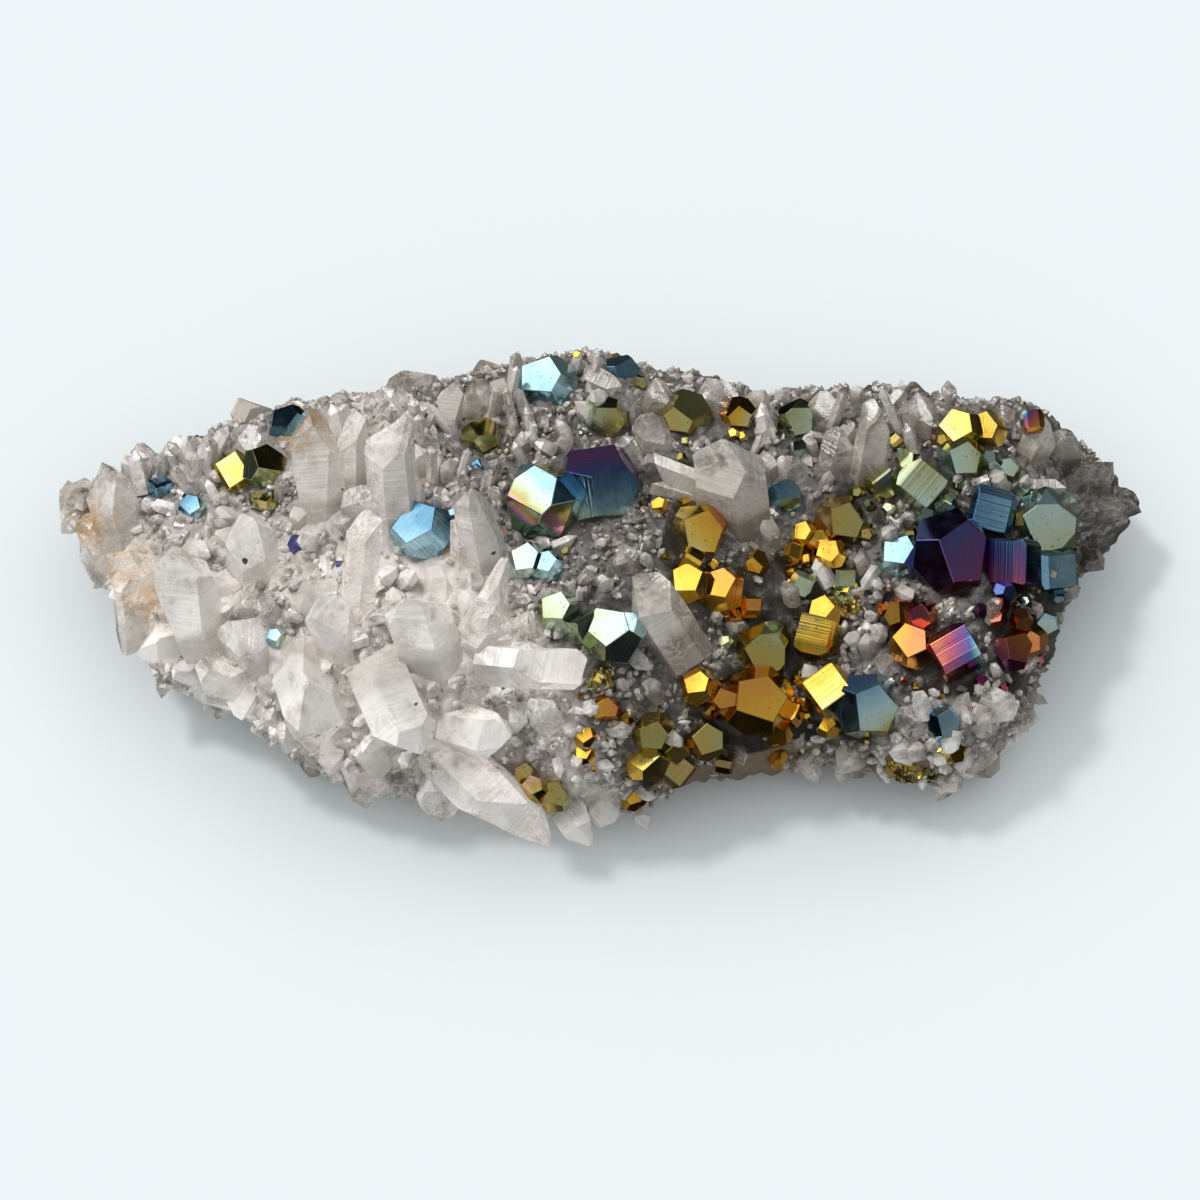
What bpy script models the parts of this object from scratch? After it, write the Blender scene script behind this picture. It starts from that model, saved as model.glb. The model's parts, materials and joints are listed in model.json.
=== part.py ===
"""A rainbow pyrite specimen: tarnished pyrite crystals seated in a cluster of milky quartz on its rock.

Frame: metres, +Z up, +X along the specimen. The origin is on the flat resting face, under the middle.
The crystals are placed where the photograph shows them. Its pixels are read along a line of sight that
comes down on the specimen at SIGHT_FALL, and one pixel is LENGTH / PIXELS_LONG metres.
"""

import math
import random
from collections import namedtuple

import bmesh
import bpy
from mathutils import Matrix, Vector, noise
from mathutils.bvhtree import BVHTree

# Driving dimensions
LENGTH = 0.120
PIXELS_LONG = 1076
PIXEL = LENGTH / PIXELS_LONG
MIDDLE_PIXEL = (600, 600)
SIGHT_FALL = math.radians(60)
WAIST_HEIGHT = 0.010
SEAT_GAP = 0.0003

# The line of sight and the picture's own axes, in the specimen's frame
ACROSS = Vector((1, 0, 0))
UPWARD = Vector((0, math.sin(SIGHT_FALL), math.cos(SIGHT_FALL)))
TO_VIEWER = Vector((0, -math.cos(SIGHT_FALL), math.sin(SIGHT_FALL)))
SIGHT_CENTRE = Vector((0, 0, WAIST_HEIGHT))
SIGHT_DISTANCE = 0.2

# The lump of rock and massive quartz that carries the crystals
RINGS_ALONG = 26
SIDES_AROUND = 15
BULGE = 0.30
END_CROWDING = 0.35
END_BLUNTNESS = 10
WIDTH_POWER = 0.9
HEIGHT_POWER = 0.8
UNDERSIDE_DEPTH = 0.92
BROAD_LUMPS = (0.0016, 60.0)
SMALL_LUMPS = (0.0008, 190.0)
LUMP_SEED = 3

# The lump's faces move out by less than its points do, so the points of a wider lump move this much further
POINTS_OVER_FACES = 1.25

Station = namedtuple("Station", "pixel_x upper lower")
Swell = namedtuple("Swell", "pixel_x pixel_y reach rise")
Quartz = namedtuple("Quartz", "foot tip width lean")
Pyrite = namedtuple("Pyrite", "pixel_x pixel_y width right up spin habit")
Grains = namedtuple("Grains", "pixel_x pixel_y wide high slope")

# Where the lump's upper and lower edges are seen, from the left tip to the right one
OUTLINE = (
    Station(68, 504, 530),
    Station(84, 478, 562),
    Station(105, 464, 600),
    Station(130, 456, 642),
    Station(165, 446, 682),
    Station(200, 440, 698),
    Station(250, 430, 720),
    Station(300, 420, 756),
    Station(350, 412, 776),
    Station(400, 406, 794),
    Station(440, 398, 798),
    Station(480, 388, 796),
    Station(520, 378, 800),
    Station(560, 368, 808),
    Station(600, 366, 812),
    Station(650, 378, 800),
    Station(700, 382, 780),
    Station(760, 397, 766),
    Station(815, 396, 755),
    Station(860, 394, 764),
    Station(910, 397, 772),
    Station(950, 404, 770),
    Station(985, 405, 752),
    Station(1015, 406, 704),
    Station(1045, 410, 644),
    Station(1075, 424, 602),
    Station(1105, 446, 576),
    Station(1128, 480, 538),
    Station(1136, 498, 520),
)

# Broad rises and hollows of the upper side, in metres
SWELLS = (
    Swell(420, 650, 0.015, 0.0035),
    Swell(250, 590, 0.012, 0.0010),
    Swell(380, 470, 0.010, 0.0015),
    Swell(630, 580, 0.010, 0.0015),
    Swell(700, 660, 0.012, -0.0030),
    Swell(860, 620, 0.014, -0.0025),
    Swell(530, 690, 0.008, 0.0010),
    Swell(1090, 520, 0.008, -0.0010),
    Swell(600, 780, 0.008, -0.0012),
)

# Quartz crystals: foot and tip as seen, width, and how far the tip leans out towards the viewer
QUARTZ = (
    Quartz((118, 520), (96, 446), 56, 12),
    Quartz((100, 535), (66, 518), 40, 18),
    Quartz((144, 462), (140, 434), 32, 14),
    Quartz((176, 460), (176, 428), 36, 16),
    Quartz((216, 452), (214, 422), 44, 18),
    Quartz((246, 446), (256, 414), 34, 20),
    Quartz((326, 500), (312, 402), 52, 20),
    Quartz((350, 480), (352, 396), 38, 16),
    Quartz((362, 596), (376, 444), 38, 26),
    Quartz((398, 515), (386, 382), 56, 22),
    Quartz((412, 515), (422, 428), 24, 18),
    Quartz((448, 425), (452, 376), 28, 24),
    Quartz((478, 415), (480, 366), 32, 20),
    Quartz((500, 396), (496, 362), 18, 14),
    Quartz((514, 396), (523, 341), 22, 8),
    Quartz((558, 372), (558, 340), 44, 4),
    Quartz((621, 402), (582, 357), 27, 22),
    Quartz((654, 400), (652, 366), 42, 14),
    Quartz((716, 405), (710, 366), 50, 10),
    Quartz((756, 405), (766, 385), 34, 14),
    Quartz((733, 500), (728, 428), 74, 45),
    Quartz((822, 412), (820, 380), 46, 16),
    Quartz((858, 402), (857, 376), 17, 10),
    Quartz((868, 470), (880, 392), 38, 26),
    Quartz((915, 415), (918, 384), 52, 14),
    Quartz((1000, 410), (996, 398), 34, 14),
    Quartz((700, 488), (574, 438), 30, 12),
    Quartz((722, 505), (628, 478), 25, 15),
    Quartz((670, 638), (584, 508), 66, 14),
    Quartz((486, 560), (468, 466), 46, 30),
    Quartz((494, 612), (494, 508), 30, 18),
    Quartz((462, 580), (462, 492), 28, 26),
    Quartz((256, 566), (254, 520), 56, 62),
    Quartz((140, 610), (126, 520), 74, 30),
    Quartz((200, 620), (168, 540), 70, 40),
    Quartz((318, 690), (300, 738), 88, 56),
    Quartz((388, 690), (428, 782), 62, 20),
    Quartz((505, 664), (602, 672), 50, 24),
    Quartz((500, 772), (562, 862), 62, 10),
    Quartz((566, 808), (594, 850), 42, 8),
    Quartz((448, 768), (430, 830), 44, 10),
    Quartz((380, 770), (376, 804), 34, 12),
    Quartz((170, 640), (130, 650), 44, 18),
    Quartz((144, 590), (106, 596), 38, 14),
    Quartz((196, 668), (170, 688), 36, 14),
    Quartz((246, 692), (238, 722), 38, 20),
    Quartz((292, 738), (286, 762), 34, 14),
    Quartz((334, 752), (330, 780), 34, 14),
    Quartz((430, 640), (418, 590), 76, 50),
    Quartz((340, 640), (322, 588), 48, 44),
    Quartz((250, 650), (232, 612), 60, 50),
    Quartz((470, 730), (520, 745), 50, 36),
    Quartz((544, 712), (528, 690), 38, 38),
    Quartz((440, 590), (446, 610), 40, 44),
    Quartz((604, 806), (606, 838), 38, 10),
    Quartz((660, 455), (644, 405), 36, 30),
    Quartz((790, 475), (796, 446), 30, 30),
    Quartz((838, 465), (846, 420), 44, 34),
    Quartz((905, 720), (886, 706), 36, 34),
    Quartz((990, 720), (1008, 712), 36, 20),
    Quartz((1062, 456), (1072, 420), 42, 24),
    Quartz((1092, 480), (1114, 450), 42, 20),
    Quartz((1108, 510), (1138, 500), 40, 16),
    Quartz((1092, 556), (1112, 572), 34, 18),
    Quartz((1032, 450), (1052, 412), 36, 16),
    Quartz((422, 468), (414, 440), 24, 24),
    Quartz((446, 474), (450, 452), 20, 30),
    Quartz((520, 452), (516, 428), 22, 28),
    Quartz((566, 452), (562, 428), 20, 30),
    Quartz((654, 470), (648, 450), 20, 34),
    Quartz((766, 472), (758, 444), 28, 30),
    Quartz((770, 536), (764, 514), 20, 34),
    Quartz((738, 628), (726, 614), 22, 40),
    Quartz((862, 566), (856, 544), 22, 34),
    Quartz((868, 648), (864, 626), 24, 34),
    Quartz((790, 596), (784, 578), 20, 36),
    Quartz((884, 664), (878, 676), 18, 36),
    Quartz((962, 702), (972, 688), 24, 34),
    Quartz((990, 612), (998, 596), 20, 34),
    Quartz((1030, 612), (1044, 600), 20, 26),
    Quartz((652, 690), (646, 672), 24, 36),
    Quartz((738, 752), (742, 768), 18, 24),
    Quartz((796, 740), (794, 752), 20, 24),
    Quartz((476, 694), (488, 704), 30, 44),
    Quartz((302, 520), (296, 500), 22, 34),
    Quartz((228, 520), (220, 502), 26, 34),
    Quartz((1086, 520), (1096, 512), 38, 48),
    Quartz((1104, 540), (1116, 548), 32, 26),
    Quartz((640, 820), (650, 806), 26, 20),
)

# The back of the specimen, which the photograph doesn't show, has crystals like those of its edges
BACK_CRYSTALS = 22
BACK_REACH = (120, 1080)
BACK_HEIGHT = (0.25, 0.95)
BACK_WIDTH = (0.0026, 0.0062)
BACK_LENGTH = (0.5, 1.0)
BACK_LEAN_ALONG = (-0.6, 0.6)
BACK_LEAN_UP = (-0.2, 0.3)

# Pyrite: centre and width as seen, how far the main face turns to the right and up from the viewer, its
# spin, and the habit. Crystals that have grown into each other share one name and are one solid.
PYRITES = {
    "pyrite_dark_1": (Pyrite(283, 412, 40, -20, 40, 10, "sharp"),),
    "pyrite_dark_2": (Pyrite(161, 490, 27, 30, -20, 20, "cubic"),),
    "pyrite_dark_3": (Pyrite(194, 508, 25, -18, 24, 50, "sharp"),),
    "pyrite_olive_1": (
        Pyrite(238, 474, 46, -17, 20, 35, "cubic"),
        Pyrite(263, 468, 44, 26, 34, 80, "sharp"),
    ),
    "pyrite_blue_1": (Pyrite(299, 545, 18, 20, 0, 0, "sharp"),),
    "pyrite_dark_4": (Pyrite(278, 637, 20, -16, 24, 70, "sharp"),),
    "pyrite_blue_2": (Pyrite(421, 531, 60, -17, 25, -30, "sharp"),),
    "pyrite_olive_2": (Pyrite(483, 438, 40, 8, 52, 15, "sharp"),),
    "pyrite_blue_3": (Pyrite(478, 467, 15, -17, 25, 30, "cubic"),),
    "pyrite_blue_4": (Pyrite(545, 384, 58, -17, 25, 8, "sharp"),),
    "pyrite_blue_5": (Pyrite(619, 375, 40, 35, 10, 10, "sharp"),),
    "pyrite_olive_3": (Pyrite(604, 420, 42, 12, -14, 60, "sharp"),),
    "pyrite_olive_4": (Pyrite(685, 417, 52, 20, 42, 40, "sharp"),),
    "pyrite_brown_1": (Pyrite(735, 415, 38, -30, 46, 0, "sharp"),),
    "pyrite_olive_5": (Pyrite(797, 422, 42, 10, 5, 25, "blunt"),),
    "pyrite_rainbow_1": (
        Pyrite(543, 502, 78, -17, 25, 62, "blunt"),
        Pyrite(600, 486, 84, 28, -12, 15, "sharp"),
    ),
    "pyrite_pale_1": (
        Pyrite(528, 562, 36, -17, 25, 20, "sharp"),
        Pyrite(549, 566, 34, -17, 25, 75, "sharp"),
    ),
    "pyrite_green_1": (
        Pyrite(558, 612, 42, -17, 26, 10, "sharp"),
        Pyrite(583, 630, 40, 40, 0, 30, "cubic"),
        Pyrite(612, 636, 60, -17, 25, 52, "sharp"),
    ),
    "pyrite_gold_1": (Pyrite(700, 530, 50, 8, -10, 10, "sharp"),),
    "pyrite_gold_2": (
        Pyrite(691, 585, 42, -17, 25, 90, "sharp"),
        Pyrite(722, 590, 44, -14, 23, 80, "sharp"),
    ),
    "pyrite_gold_3": (Pyrite(757, 563, 24, 20, 30, 40, "sharp"),),
    "pyrite_dark_5": (Pyrite(783, 497, 36, 15, 35, 15, "blunt"),),
    "pyrite_olive_6": (
        Pyrite(841, 522, 50, 8, 2, 5, "sharp"),
        Pyrite(803, 534, 26, -17, 25, 5, "sharp"),
        Pyrite(818, 543, 26, -10, 20, 65, "sharp"),
    ),
    "pyrite_striped_1": (
        Pyrite(881, 484, 38, 25, -20, 40, "cubic"),
        Pyrite(918, 486, 54, 2, 8, -40, "cubic"),
    ),
    "pyrite_green_2": (
        Pyrite(961, 461, 42, 6, 6, 15, "sharp"),
        Pyrite(960, 432, 42, -17, 25, 45, "sharp"),
        Pyrite(987, 432, 40, -12, 20, 10, "sharp"),
    ),
    "pyrite_green_3": (Pyrite(1007, 470, 28, 5, 10, 70, "sharp"),),
    "pyrite_violet_1": (
        Pyrite(950, 553, 80, 22, 2, 20, "sharp"),
        Pyrite(901, 557, 42, -17, 25, 5, "sharp"),
        Pyrite(988, 514, 56, 8, 10, 75, "cubic"),
        Pyrite(1046, 524, 74, 10, -4, 25, "blunt"),
        Pyrite(1010, 562, 62, -24, 4, 0, "cubic"),
        Pyrite(1050, 568, 52, 26, -6, 5, "cubic"),
    ),
    "pyrite_olive_7": (Pyrite(843, 578, 26, 8, -4, 0, "cubic"),),
    "pyrite_olive_8": (
        Pyrite(762, 648, 54, 10, -14, 30, "blunt"),
        Pyrite(756, 700, 62, 2, 2, 72, "sharp"),
    ),
    "pyrite_gold_5": (Pyrite(697, 685, 38, -14, 22, 20, "sharp"),),
    "pyrite_gold_6": (Pyrite(817, 637, 48, -18, 14, 78, "cubic"),),
    "pyrite_striped_2": (
        Pyrite(830, 694, 56, -17, 25, -50, "cubic"),
        Pyrite(866, 706, 66, 14, -12, 10, "sharp"),
    ),
    "pyrite_red_1": (
        Pyrite(899, 613, 34, 30, 8, 0, "sharp"),
        Pyrite(923, 616, 30, -34, -12, 30, "cubic"),
        Pyrite(914, 646, 46, -17, 25, 40, "sharp"),
        Pyrite(955, 653, 60, -12, 20, -58, "cubic"),
    ),
    "pyrite_brown_2": (Pyrite(1010, 650, 40, 30, 20, 0, "sharp"),),
    "pyrite_green_4": (Pyrite(1045, 626, 26, 10, 10, 40, "sharp"),),
    "pyrite_gold_7": (
        Pyrite(607, 708, 26, 5, 0, 15, "sharp"),
        Pyrite(617, 725, 16, -17, 25, 0, "sharp"),
    ),
    "pyrite_gold_8": (
        Pyrite(586, 736, 22, -17, 25, 50, "sharp"),
        Pyrite(584, 752, 23, -10, 24, 5, "sharp"),
    ),
    "pyrite_olive_9": (
        Pyrite(653, 731, 40, 4, -16, 8, "sharp"),
        Pyrite(648, 762, 42, -17, 27, 60, "sharp"),
        Pyrite(672, 766, 44, 14, -4, -38, "cubic"),
    ),
    "pyrite_olive_10": (Pyrite(707, 738, 40, 4, 2, 30, "sharp"),),
    "pyrite_olive_11": (
        Pyrite(554, 796, 32, 8, 16, 0, "sharp"),
        Pyrite(534, 787, 26, -10, 20, 40, "sharp"),
        Pyrite(526, 772, 20, 0, 10, 20, "sharp"),
    ),
    "pyrite_gold_9": (Pyrite(632, 796, 26, 0, 8, 30, "sharp"),),
    "pyrite_gold_10": (
        Pyrite(947, 746, 34, -15, 22, 0, "sharp"),
        Pyrite(942, 720, 36, 20, -16, 20, "sharp"),
    ),
    "pyrite_red_3": (Pyrite(1032, 422, 28, 8, 18, 5, "cubic"),),
}

# Crusts of pyrite grains too small to be crystals of their own
GRAIN_CRUSTS = {
    "pyrite_grains_1": Grains(268, 503, 38, 15, -10),
    "pyrite_grains_2": Grains(600, 680, 34, 20, 40),
    "pyrite_grains_3": Grains(846, 606, 36, 24, 0),
    "pyrite_grains_4": Grains(910, 768, 62, 20, -8),
}

# The finish of the quartz and that of each tarnish: colour, roughness, metallic
FINISHES = {
    "quartz": ((0.72, 0.69, 0.66, 1), 0.35, 0.0),
    "dark": ((0.05, 0.09, 0.10, 1), 0.2, 1.0),
    "olive": ((0.38, 0.34, 0.10, 1), 0.25, 1.0),
    "blue": ((0.22, 0.42, 0.55, 1), 0.2, 1.0),
    "brown": ((0.25, 0.15, 0.06, 1), 0.3, 1.0),
    "rainbow": ((0.65, 0.62, 0.40, 1), 0.2, 1.0),
    "pale": ((0.62, 0.76, 0.82, 1), 0.15, 1.0),
    "green": ((0.32, 0.40, 0.30, 1), 0.25, 1.0),
    "gold": ((0.85, 0.62, 0.12, 1), 0.2, 1.0),
    "striped": ((0.45, 0.47, 0.30, 1), 0.3, 1.0),
    "violet": ((0.16, 0.14, 0.26, 1), 0.25, 1.0),
    "red": ((0.55, 0.25, 0.12, 1), 0.25, 1.0),
    "grains": ((0.45, 0.40, 0.20, 1), 0.35, 1.0),
}


def in_picture(pixel_x, pixel_y):
    """A pixel's offset from the picture's middle, in metres, across and up."""
    return (pixel_x - MIDDLE_PIXEL[0]) * PIXEL, (MIDDLE_PIXEL[1] - pixel_y) * PIXEL


def pixel_of(point):
    """The pixel at which a point of the specimen is seen."""
    offset = point - SIGHT_CENTRE
    return (
        MIDDLE_PIXEL[0] + offset.dot(ACROSS) / PIXEL,
        MIDDLE_PIXEL[1] - offset.dot(UPWARD) / PIXEL,
    )


def between(stations, pixel_x, field):
    """A smooth value at pixel_x, through one field of the stations that lie around it."""
    last = len(stations) - 2
    at = max(0, min(last, sum(s.pixel_x <= pixel_x for s in stations) - 1))
    four = [stations[max(0, min(last + 1, at + step))] for step in (-1, 0, 1, 2)]
    before, start, end, after = (getattr(s, field) for s in four)
    width = four[2].pixel_x - four[1].pixel_x
    share = max(0.0, min(1.0, (pixel_x - four[1].pixel_x) / width))
    leaving = (end - before) / max(1, four[2].pixel_x - four[0].pixel_x) * width
    arriving = (after - start) / max(1, four[3].pixel_x - four[1].pixel_x) * width
    square, cube = share**2, share**3
    return (
        (2 * cube - 3 * square + 1) * start
        + (cube - 2 * square + share) * leaving
        + (3 * square - 2 * cube) * end
        + (cube - square) * arriving
    )


def signed_power(value, power):
    return math.copysign(abs(value) ** power, value)


def lump_point(lean, around):
    """A point of the lump: lean runs from -90 to 90 degrees tip to tip, around goes round its section."""
    share = (1 - END_CROWDING) * lean / (math.pi / 2) + END_CROWDING * math.sin(lean)
    closing = math.sqrt(max(0.0, 1 - abs(share) ** END_BLUNTNESS))
    left, right = OUTLINE[0].pixel_x, OUTLINE[-1].pixel_x
    pixel_x = left + (right - left) * (share + 1) / 2
    across, upper = in_picture(pixel_x, between(OUTLINE, pixel_x, "upper"))
    _, lower = in_picture(pixel_x, between(OUTLINE, pixel_x, "lower"))
    span = (upper - lower) * closing
    centre = (upper + lower) / 2 / math.sin(SIGHT_FALL)
    bulge = BULGE * span
    half_width = math.sqrt((span / 2) ** 2 - (math.cos(SIGHT_FALL) * bulge) ** 2) / math.sin(SIGHT_FALL)
    cosine, sine = math.cos(around), math.sin(around)
    depth = bulge if sine > 0 else bulge * UNDERSIDE_DEPTH
    point = Vector(
        (
            across,
            centre + half_width * signed_power(cosine, WIDTH_POWER),
            WAIST_HEIGHT + depth * signed_power(sine, HEIGHT_POWER),
        )
    )
    return roughened(point, max(0.0, sine))


def roughened(point, topside):
    """The point moved by the swells of the upper side and by the lumps of the whole surface."""
    pixel_x, pixel_y = pixel_of(point)
    for swell in SWELLS:
        away = math.hypot(pixel_x - swell.pixel_x, pixel_y - swell.pixel_y) * PIXEL / swell.reach
        point = point + Vector((0, 0, swell.rise * topside * math.exp(-away * away)))
    for height, frequency in (BROAD_LUMPS, SMALL_LUMPS):
        point = point + noise.noise_vector(point * frequency) * height
    return Vector((point.x, point.y, max(0.0, point.z)))


def lump_mesh(rings, sides):
    """The lump as a round primitive whose points are moved to the lump's surface."""
    noise.seed_set(LUMP_SEED)
    shape = bmesh.new()
    bmesh.ops.create_uvsphere(shape, u_segments=sides, v_segments=rings, radius=1)
    for vertex in shape.verts:
        lean = math.asin(max(-1.0, min(1.0, vertex.co.z)))
        vertex.co = lump_point(lean, math.atan2(vertex.co.y, vertex.co.x))
    bmesh.ops.triangulate(shape, faces=shape.faces)
    bmesh.ops.recalc_face_normals(shape, faces=shape.faces)
    return shape


# How near to a cutting plane a point counts as lying on it
CLEAVING_PRECISION = 1e-8
RESTING_PRECISION = 1e-7


def cleaved(reach, planes):
    """A block cut back by planes, each a normal and its distance from the block's middle."""
    shape = bmesh.new()
    bmesh.ops.create_cube(shape, size=2 * reach)
    for normal, distance in planes:
        everything = shape.verts[:] + shape.edges[:] + shape.faces[:]
        bmesh.ops.bisect_plane(
            shape,
            geom=everything,
            dist=CLEAVING_PRECISION,
            plane_co=normal * distance,
            plane_no=normal,
            clear_outer=True,
        )
        rim = [edge for edge in shape.edges if edge.is_boundary]
        if rim:
            bmesh.ops.holes_fill(shape, edges=rim, sides=0)
    bmesh.ops.recalc_face_normals(shape, faces=shape.faces)
    return shape


# Quartz habit: six prism faces, and six end faces that lie this far from the crystal's long axis
END_FACE_ANGLE = math.radians(51.8)
PRISM_UNEVENNESS = 0.10
END_UNEVENNESS = 0.16
LARGER_END_FACES = 0.06
ROOT_SHARE = 0.45
FINE_WIDTH = 0.0042


def quartz_crystal(length, width, seed, grow=0.0):
    """A quartz crystal along +Z with its foot at the origin and a root below it."""
    chance = random.Random(seed)
    root = ROOT_SHARE * width
    planes = [(Vector((0, 0, -1)), root + grow)]
    ends = range(6) if width > FINE_WIDTH else (0, 2, 4)
    for side in range(6):
        angle = math.radians(60 * side)
        outward = Vector((math.cos(angle), math.sin(angle), 0))
        planes.append((outward, width / 2 * chance.uniform(1 - PRISM_UNEVENNESS, 1) + grow))
        end_face = outward * math.sin(END_FACE_ANGLE) + Vector((0, 0, math.cos(END_FACE_ANGLE)))
        drop = width * (chance.uniform(0, END_UNEVENNESS) - side % 2 * LARGER_END_FACES)
        if side in ends:
            planes.append((end_face, (length - drop) * math.cos(END_FACE_ANGLE) + grow))
    return cleaved(length + root + width, planes)


# Pyrite habits: distances of the cube, five-sided and octahedral faces as shares of half the width. The face
# that looks at the viewer lies nearer to the middle than its fellows, so it is the largest.
HABITS = {
    "sharp": (1.50, 1.00, 1.70),
    "cubic": (0.86, 1.00, 1.70),
    "blunt": (1.02, 1.00, 1.10),
}
MAIN_FACE = {"sharp": Vector((2, 1, 0)), "cubic": Vector((1, 0, 0)), "blunt": Vector((2, 1, 0))}
MAIN_FACE_DEPTH = 0.74
PYRITE_EVENNESS = (0.82, 1.02)
PYRITE_BLOCK = 3


def pyrite_faces():
    """The outward normals of the cube, the five-sided form and the octahedron."""
    cube, fives, octahedron = [], [], []
    for axis in range(3):
        for sign in (-1, 1):
            square = [0, 0, 0]
            square[axis] = sign
            cube.append(Vector(square))
            for other in (-1, 1):
                five = [0, 0, 0]
                five[axis] = 2 * sign
                five[(axis + 1) % 3] = other
                fives.append(Vector(five).normalized())
    for corner in range(8):
        signs = [1 if corner >> bit & 1 else -1 for bit in range(3)]
        octahedron.append(Vector(signs).normalized())
    return cube, fives, octahedron


def pyrite_crystal(pyrite, seed):
    """A pyrite crystal about the origin, in its own axes."""
    chance = random.Random(seed)
    half = pyrite.width * PIXEL / 2
    planes = [(MAIN_FACE[pyrite.habit].normalized(), half * MAIN_FACE_DEPTH)]
    for normals, share in zip(pyrite_faces(), HABITS[pyrite.habit]):
        for normal in normals:
            planes.append((normal, half * share * chance.uniform(*PYRITE_EVENNESS)))
    return cleaved(PYRITE_BLOCK * half, planes)


def turned(main, pyrite):
    """The rotation that brings a crystal's main face to look where the pyrite says."""
    looks = Matrix.Rotation(math.radians(pyrite.right), 3, UPWARD) @ TO_VIEWER
    looks = Matrix.Rotation(math.radians(-pyrite.up), 3, ACROSS) @ looks
    edge = (UPWARD - looks * UPWARD.dot(looks)).normalized()
    target = Matrix((edge.cross(looks), edge, looks)).transposed()
    long_edge = Vector((0, 0, 1))
    own_edge = (long_edge - main * long_edge.dot(main)).normalized()
    own = Matrix((own_edge.cross(main), own_edge, main)).transposed()
    spin = Matrix.Rotation(math.radians(pyrite.spin), 3, looks)
    return spin @ target @ own.transposed()


PROUD_SHARE = 0.30


def seat_of(surface, pixel_x, pixel_y):
    """The point of a surface that is seen at a pixel, or its nearest one for a pixel just off its edge."""
    across, up = in_picture(pixel_x, pixel_y)
    middle = SIGHT_CENTRE + ACROSS * across + UPWARD * up
    point, _, _, _ = surface.ray_cast(middle + TO_VIEWER * SIGHT_DISTANCE, -TO_VIEWER)
    if point is None:
        point, _, _, _ = surface.find_nearest(middle)
    return point


def placed_pyrite(surface, pyrite, seed):
    shape = pyrite_crystal(pyrite, seed)
    turn = turned(MAIN_FACE[pyrite.habit].normalized(), pyrite)
    centre = seat_of(surface, pyrite.pixel_x, pyrite.pixel_y)
    centre = centre + TO_VIEWER * (PROUD_SHARE * pyrite.width * PIXEL / 2)
    shape.transform(Matrix.Translation(centre) @ turn.to_4x4())
    return shape


def placed_quartz(surface, quartz, seed, grow=0.0):
    foot = seat_of(surface, *quartz.foot)
    across = (quartz.tip[0] - quartz.foot[0]) * PIXEL
    up = (quartz.foot[1] - quartz.tip[1]) * PIXEL
    lean = math.radians(quartz.lean)
    seen = ACROSS * across + UPWARD * up
    axis = seen.normalized() * math.cos(lean) + TO_VIEWER * math.sin(lean)
    shape = quartz_crystal(seen.length / math.cos(lean), quartz.width * PIXEL, seed, grow)
    turn = axis.to_track_quat("Z", "Y").to_matrix().to_4x4()
    shape.transform(Matrix.Translation(foot) @ turn)
    return shape


def back_crystals(surface, grow=0.0):
    """Quartz crystals that stand out of the back of the lump, at random places on it."""
    chance = random.Random("back of the specimen")
    for _ in range(BACK_CRYSTALS):
        across, _ = in_picture(chance.uniform(*BACK_REACH), MIDDLE_PIXEL[1])
        start = Vector((across, SIGHT_DISTANCE, WAIST_HEIGHT * chance.uniform(*BACK_HEIGHT)))
        foot, outward, _, _ = surface.ray_cast(start, Vector((0, -1, 0)))
        width = chance.uniform(*BACK_WIDTH)
        leaning = Vector((chance.uniform(*BACK_LEAN_ALONG), 0, chance.uniform(*BACK_LEAN_UP)))
        axis = (outward + leaning).normalized()
        shape = quartz_crystal(width * chance.uniform(*BACK_LENGTH), width, chance.random(), grow)
        shape.transform(Matrix.Translation(foot) @ axis.to_track_quat("Z", "Y").to_matrix().to_4x4())
        yield shape


GRAIN_THICKNESS = 0.0022
GRAIN_RAGGEDNESS = 0.22


def placed_grains(surface, grains, seed):
    """A ragged flat crust, lying along the surface that it grew on."""
    chance = random.Random(seed)
    shape = bmesh.new()
    bmesh.ops.create_icosphere(shape, subdivisions=1, radius=1)
    for vertex in shape.verts:
        ragged = 1 + chance.uniform(-GRAIN_RAGGEDNESS, 0)
        wide = grains.wide * PIXEL / 2 * ragged
        high = grains.high * PIXEL / 2 * ragged
        thick = GRAIN_THICKNESS * ragged
        vertex.co = Vector((vertex.co.x * wide, vertex.co.y * high, vertex.co.z * thick))
    centre = seat_of(surface, grains.pixel_x, grains.pixel_y)
    picture = Matrix((ACROSS, UPWARD, TO_VIEWER)).transposed()
    slope = Matrix.Rotation(math.radians(grains.slope), 3, "Z")
    shape.transform(Matrix.Translation(centre) @ (picture @ slope).to_4x4())
    bmesh.ops.recalc_face_normals(shape, faces=shape.faces)
    return shape


def collection_named(name):
    collection = bpy.data.collections.new(name)
    bpy.context.scene.collection.children.link(collection)
    return collection


def finish(name):
    """The material for one of FINISHES."""
    found = bpy.data.materials.get(name)
    if found:
        return found
    material = bpy.data.materials.new(name)
    material.use_nodes = True
    colour, roughness, metallic = FINISHES[name]
    shader = material.node_tree.nodes["Principled BSDF"]
    shader.inputs["Base Color"].default_value = colour
    shader.inputs["Roughness"].default_value = roughness
    shader.inputs["Metallic"].default_value = metallic
    return material


def object_from(shape, name, collection, material=None):
    mesh = bpy.data.meshes.new(name)
    shape.to_mesh(mesh)
    shape.free()
    thing = bpy.data.objects.new(name, mesh)
    collection.objects.link(thing)
    if material:
        mesh.materials.append(material)
    return thing


def hidden(thing):
    thing.hide_render = True
    thing.display_type = "WIRE"
    return thing


def combined(thing, others, operation):
    """A Boolean modifier that joins or cuts with every object of a collection."""
    modifier = thing.modifiers.new(others.name, "BOOLEAN")
    modifier.operation = operation
    modifier.operand_type = "COLLECTION"
    modifier.collection = others
    modifier.solver = "EXACT"


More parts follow.
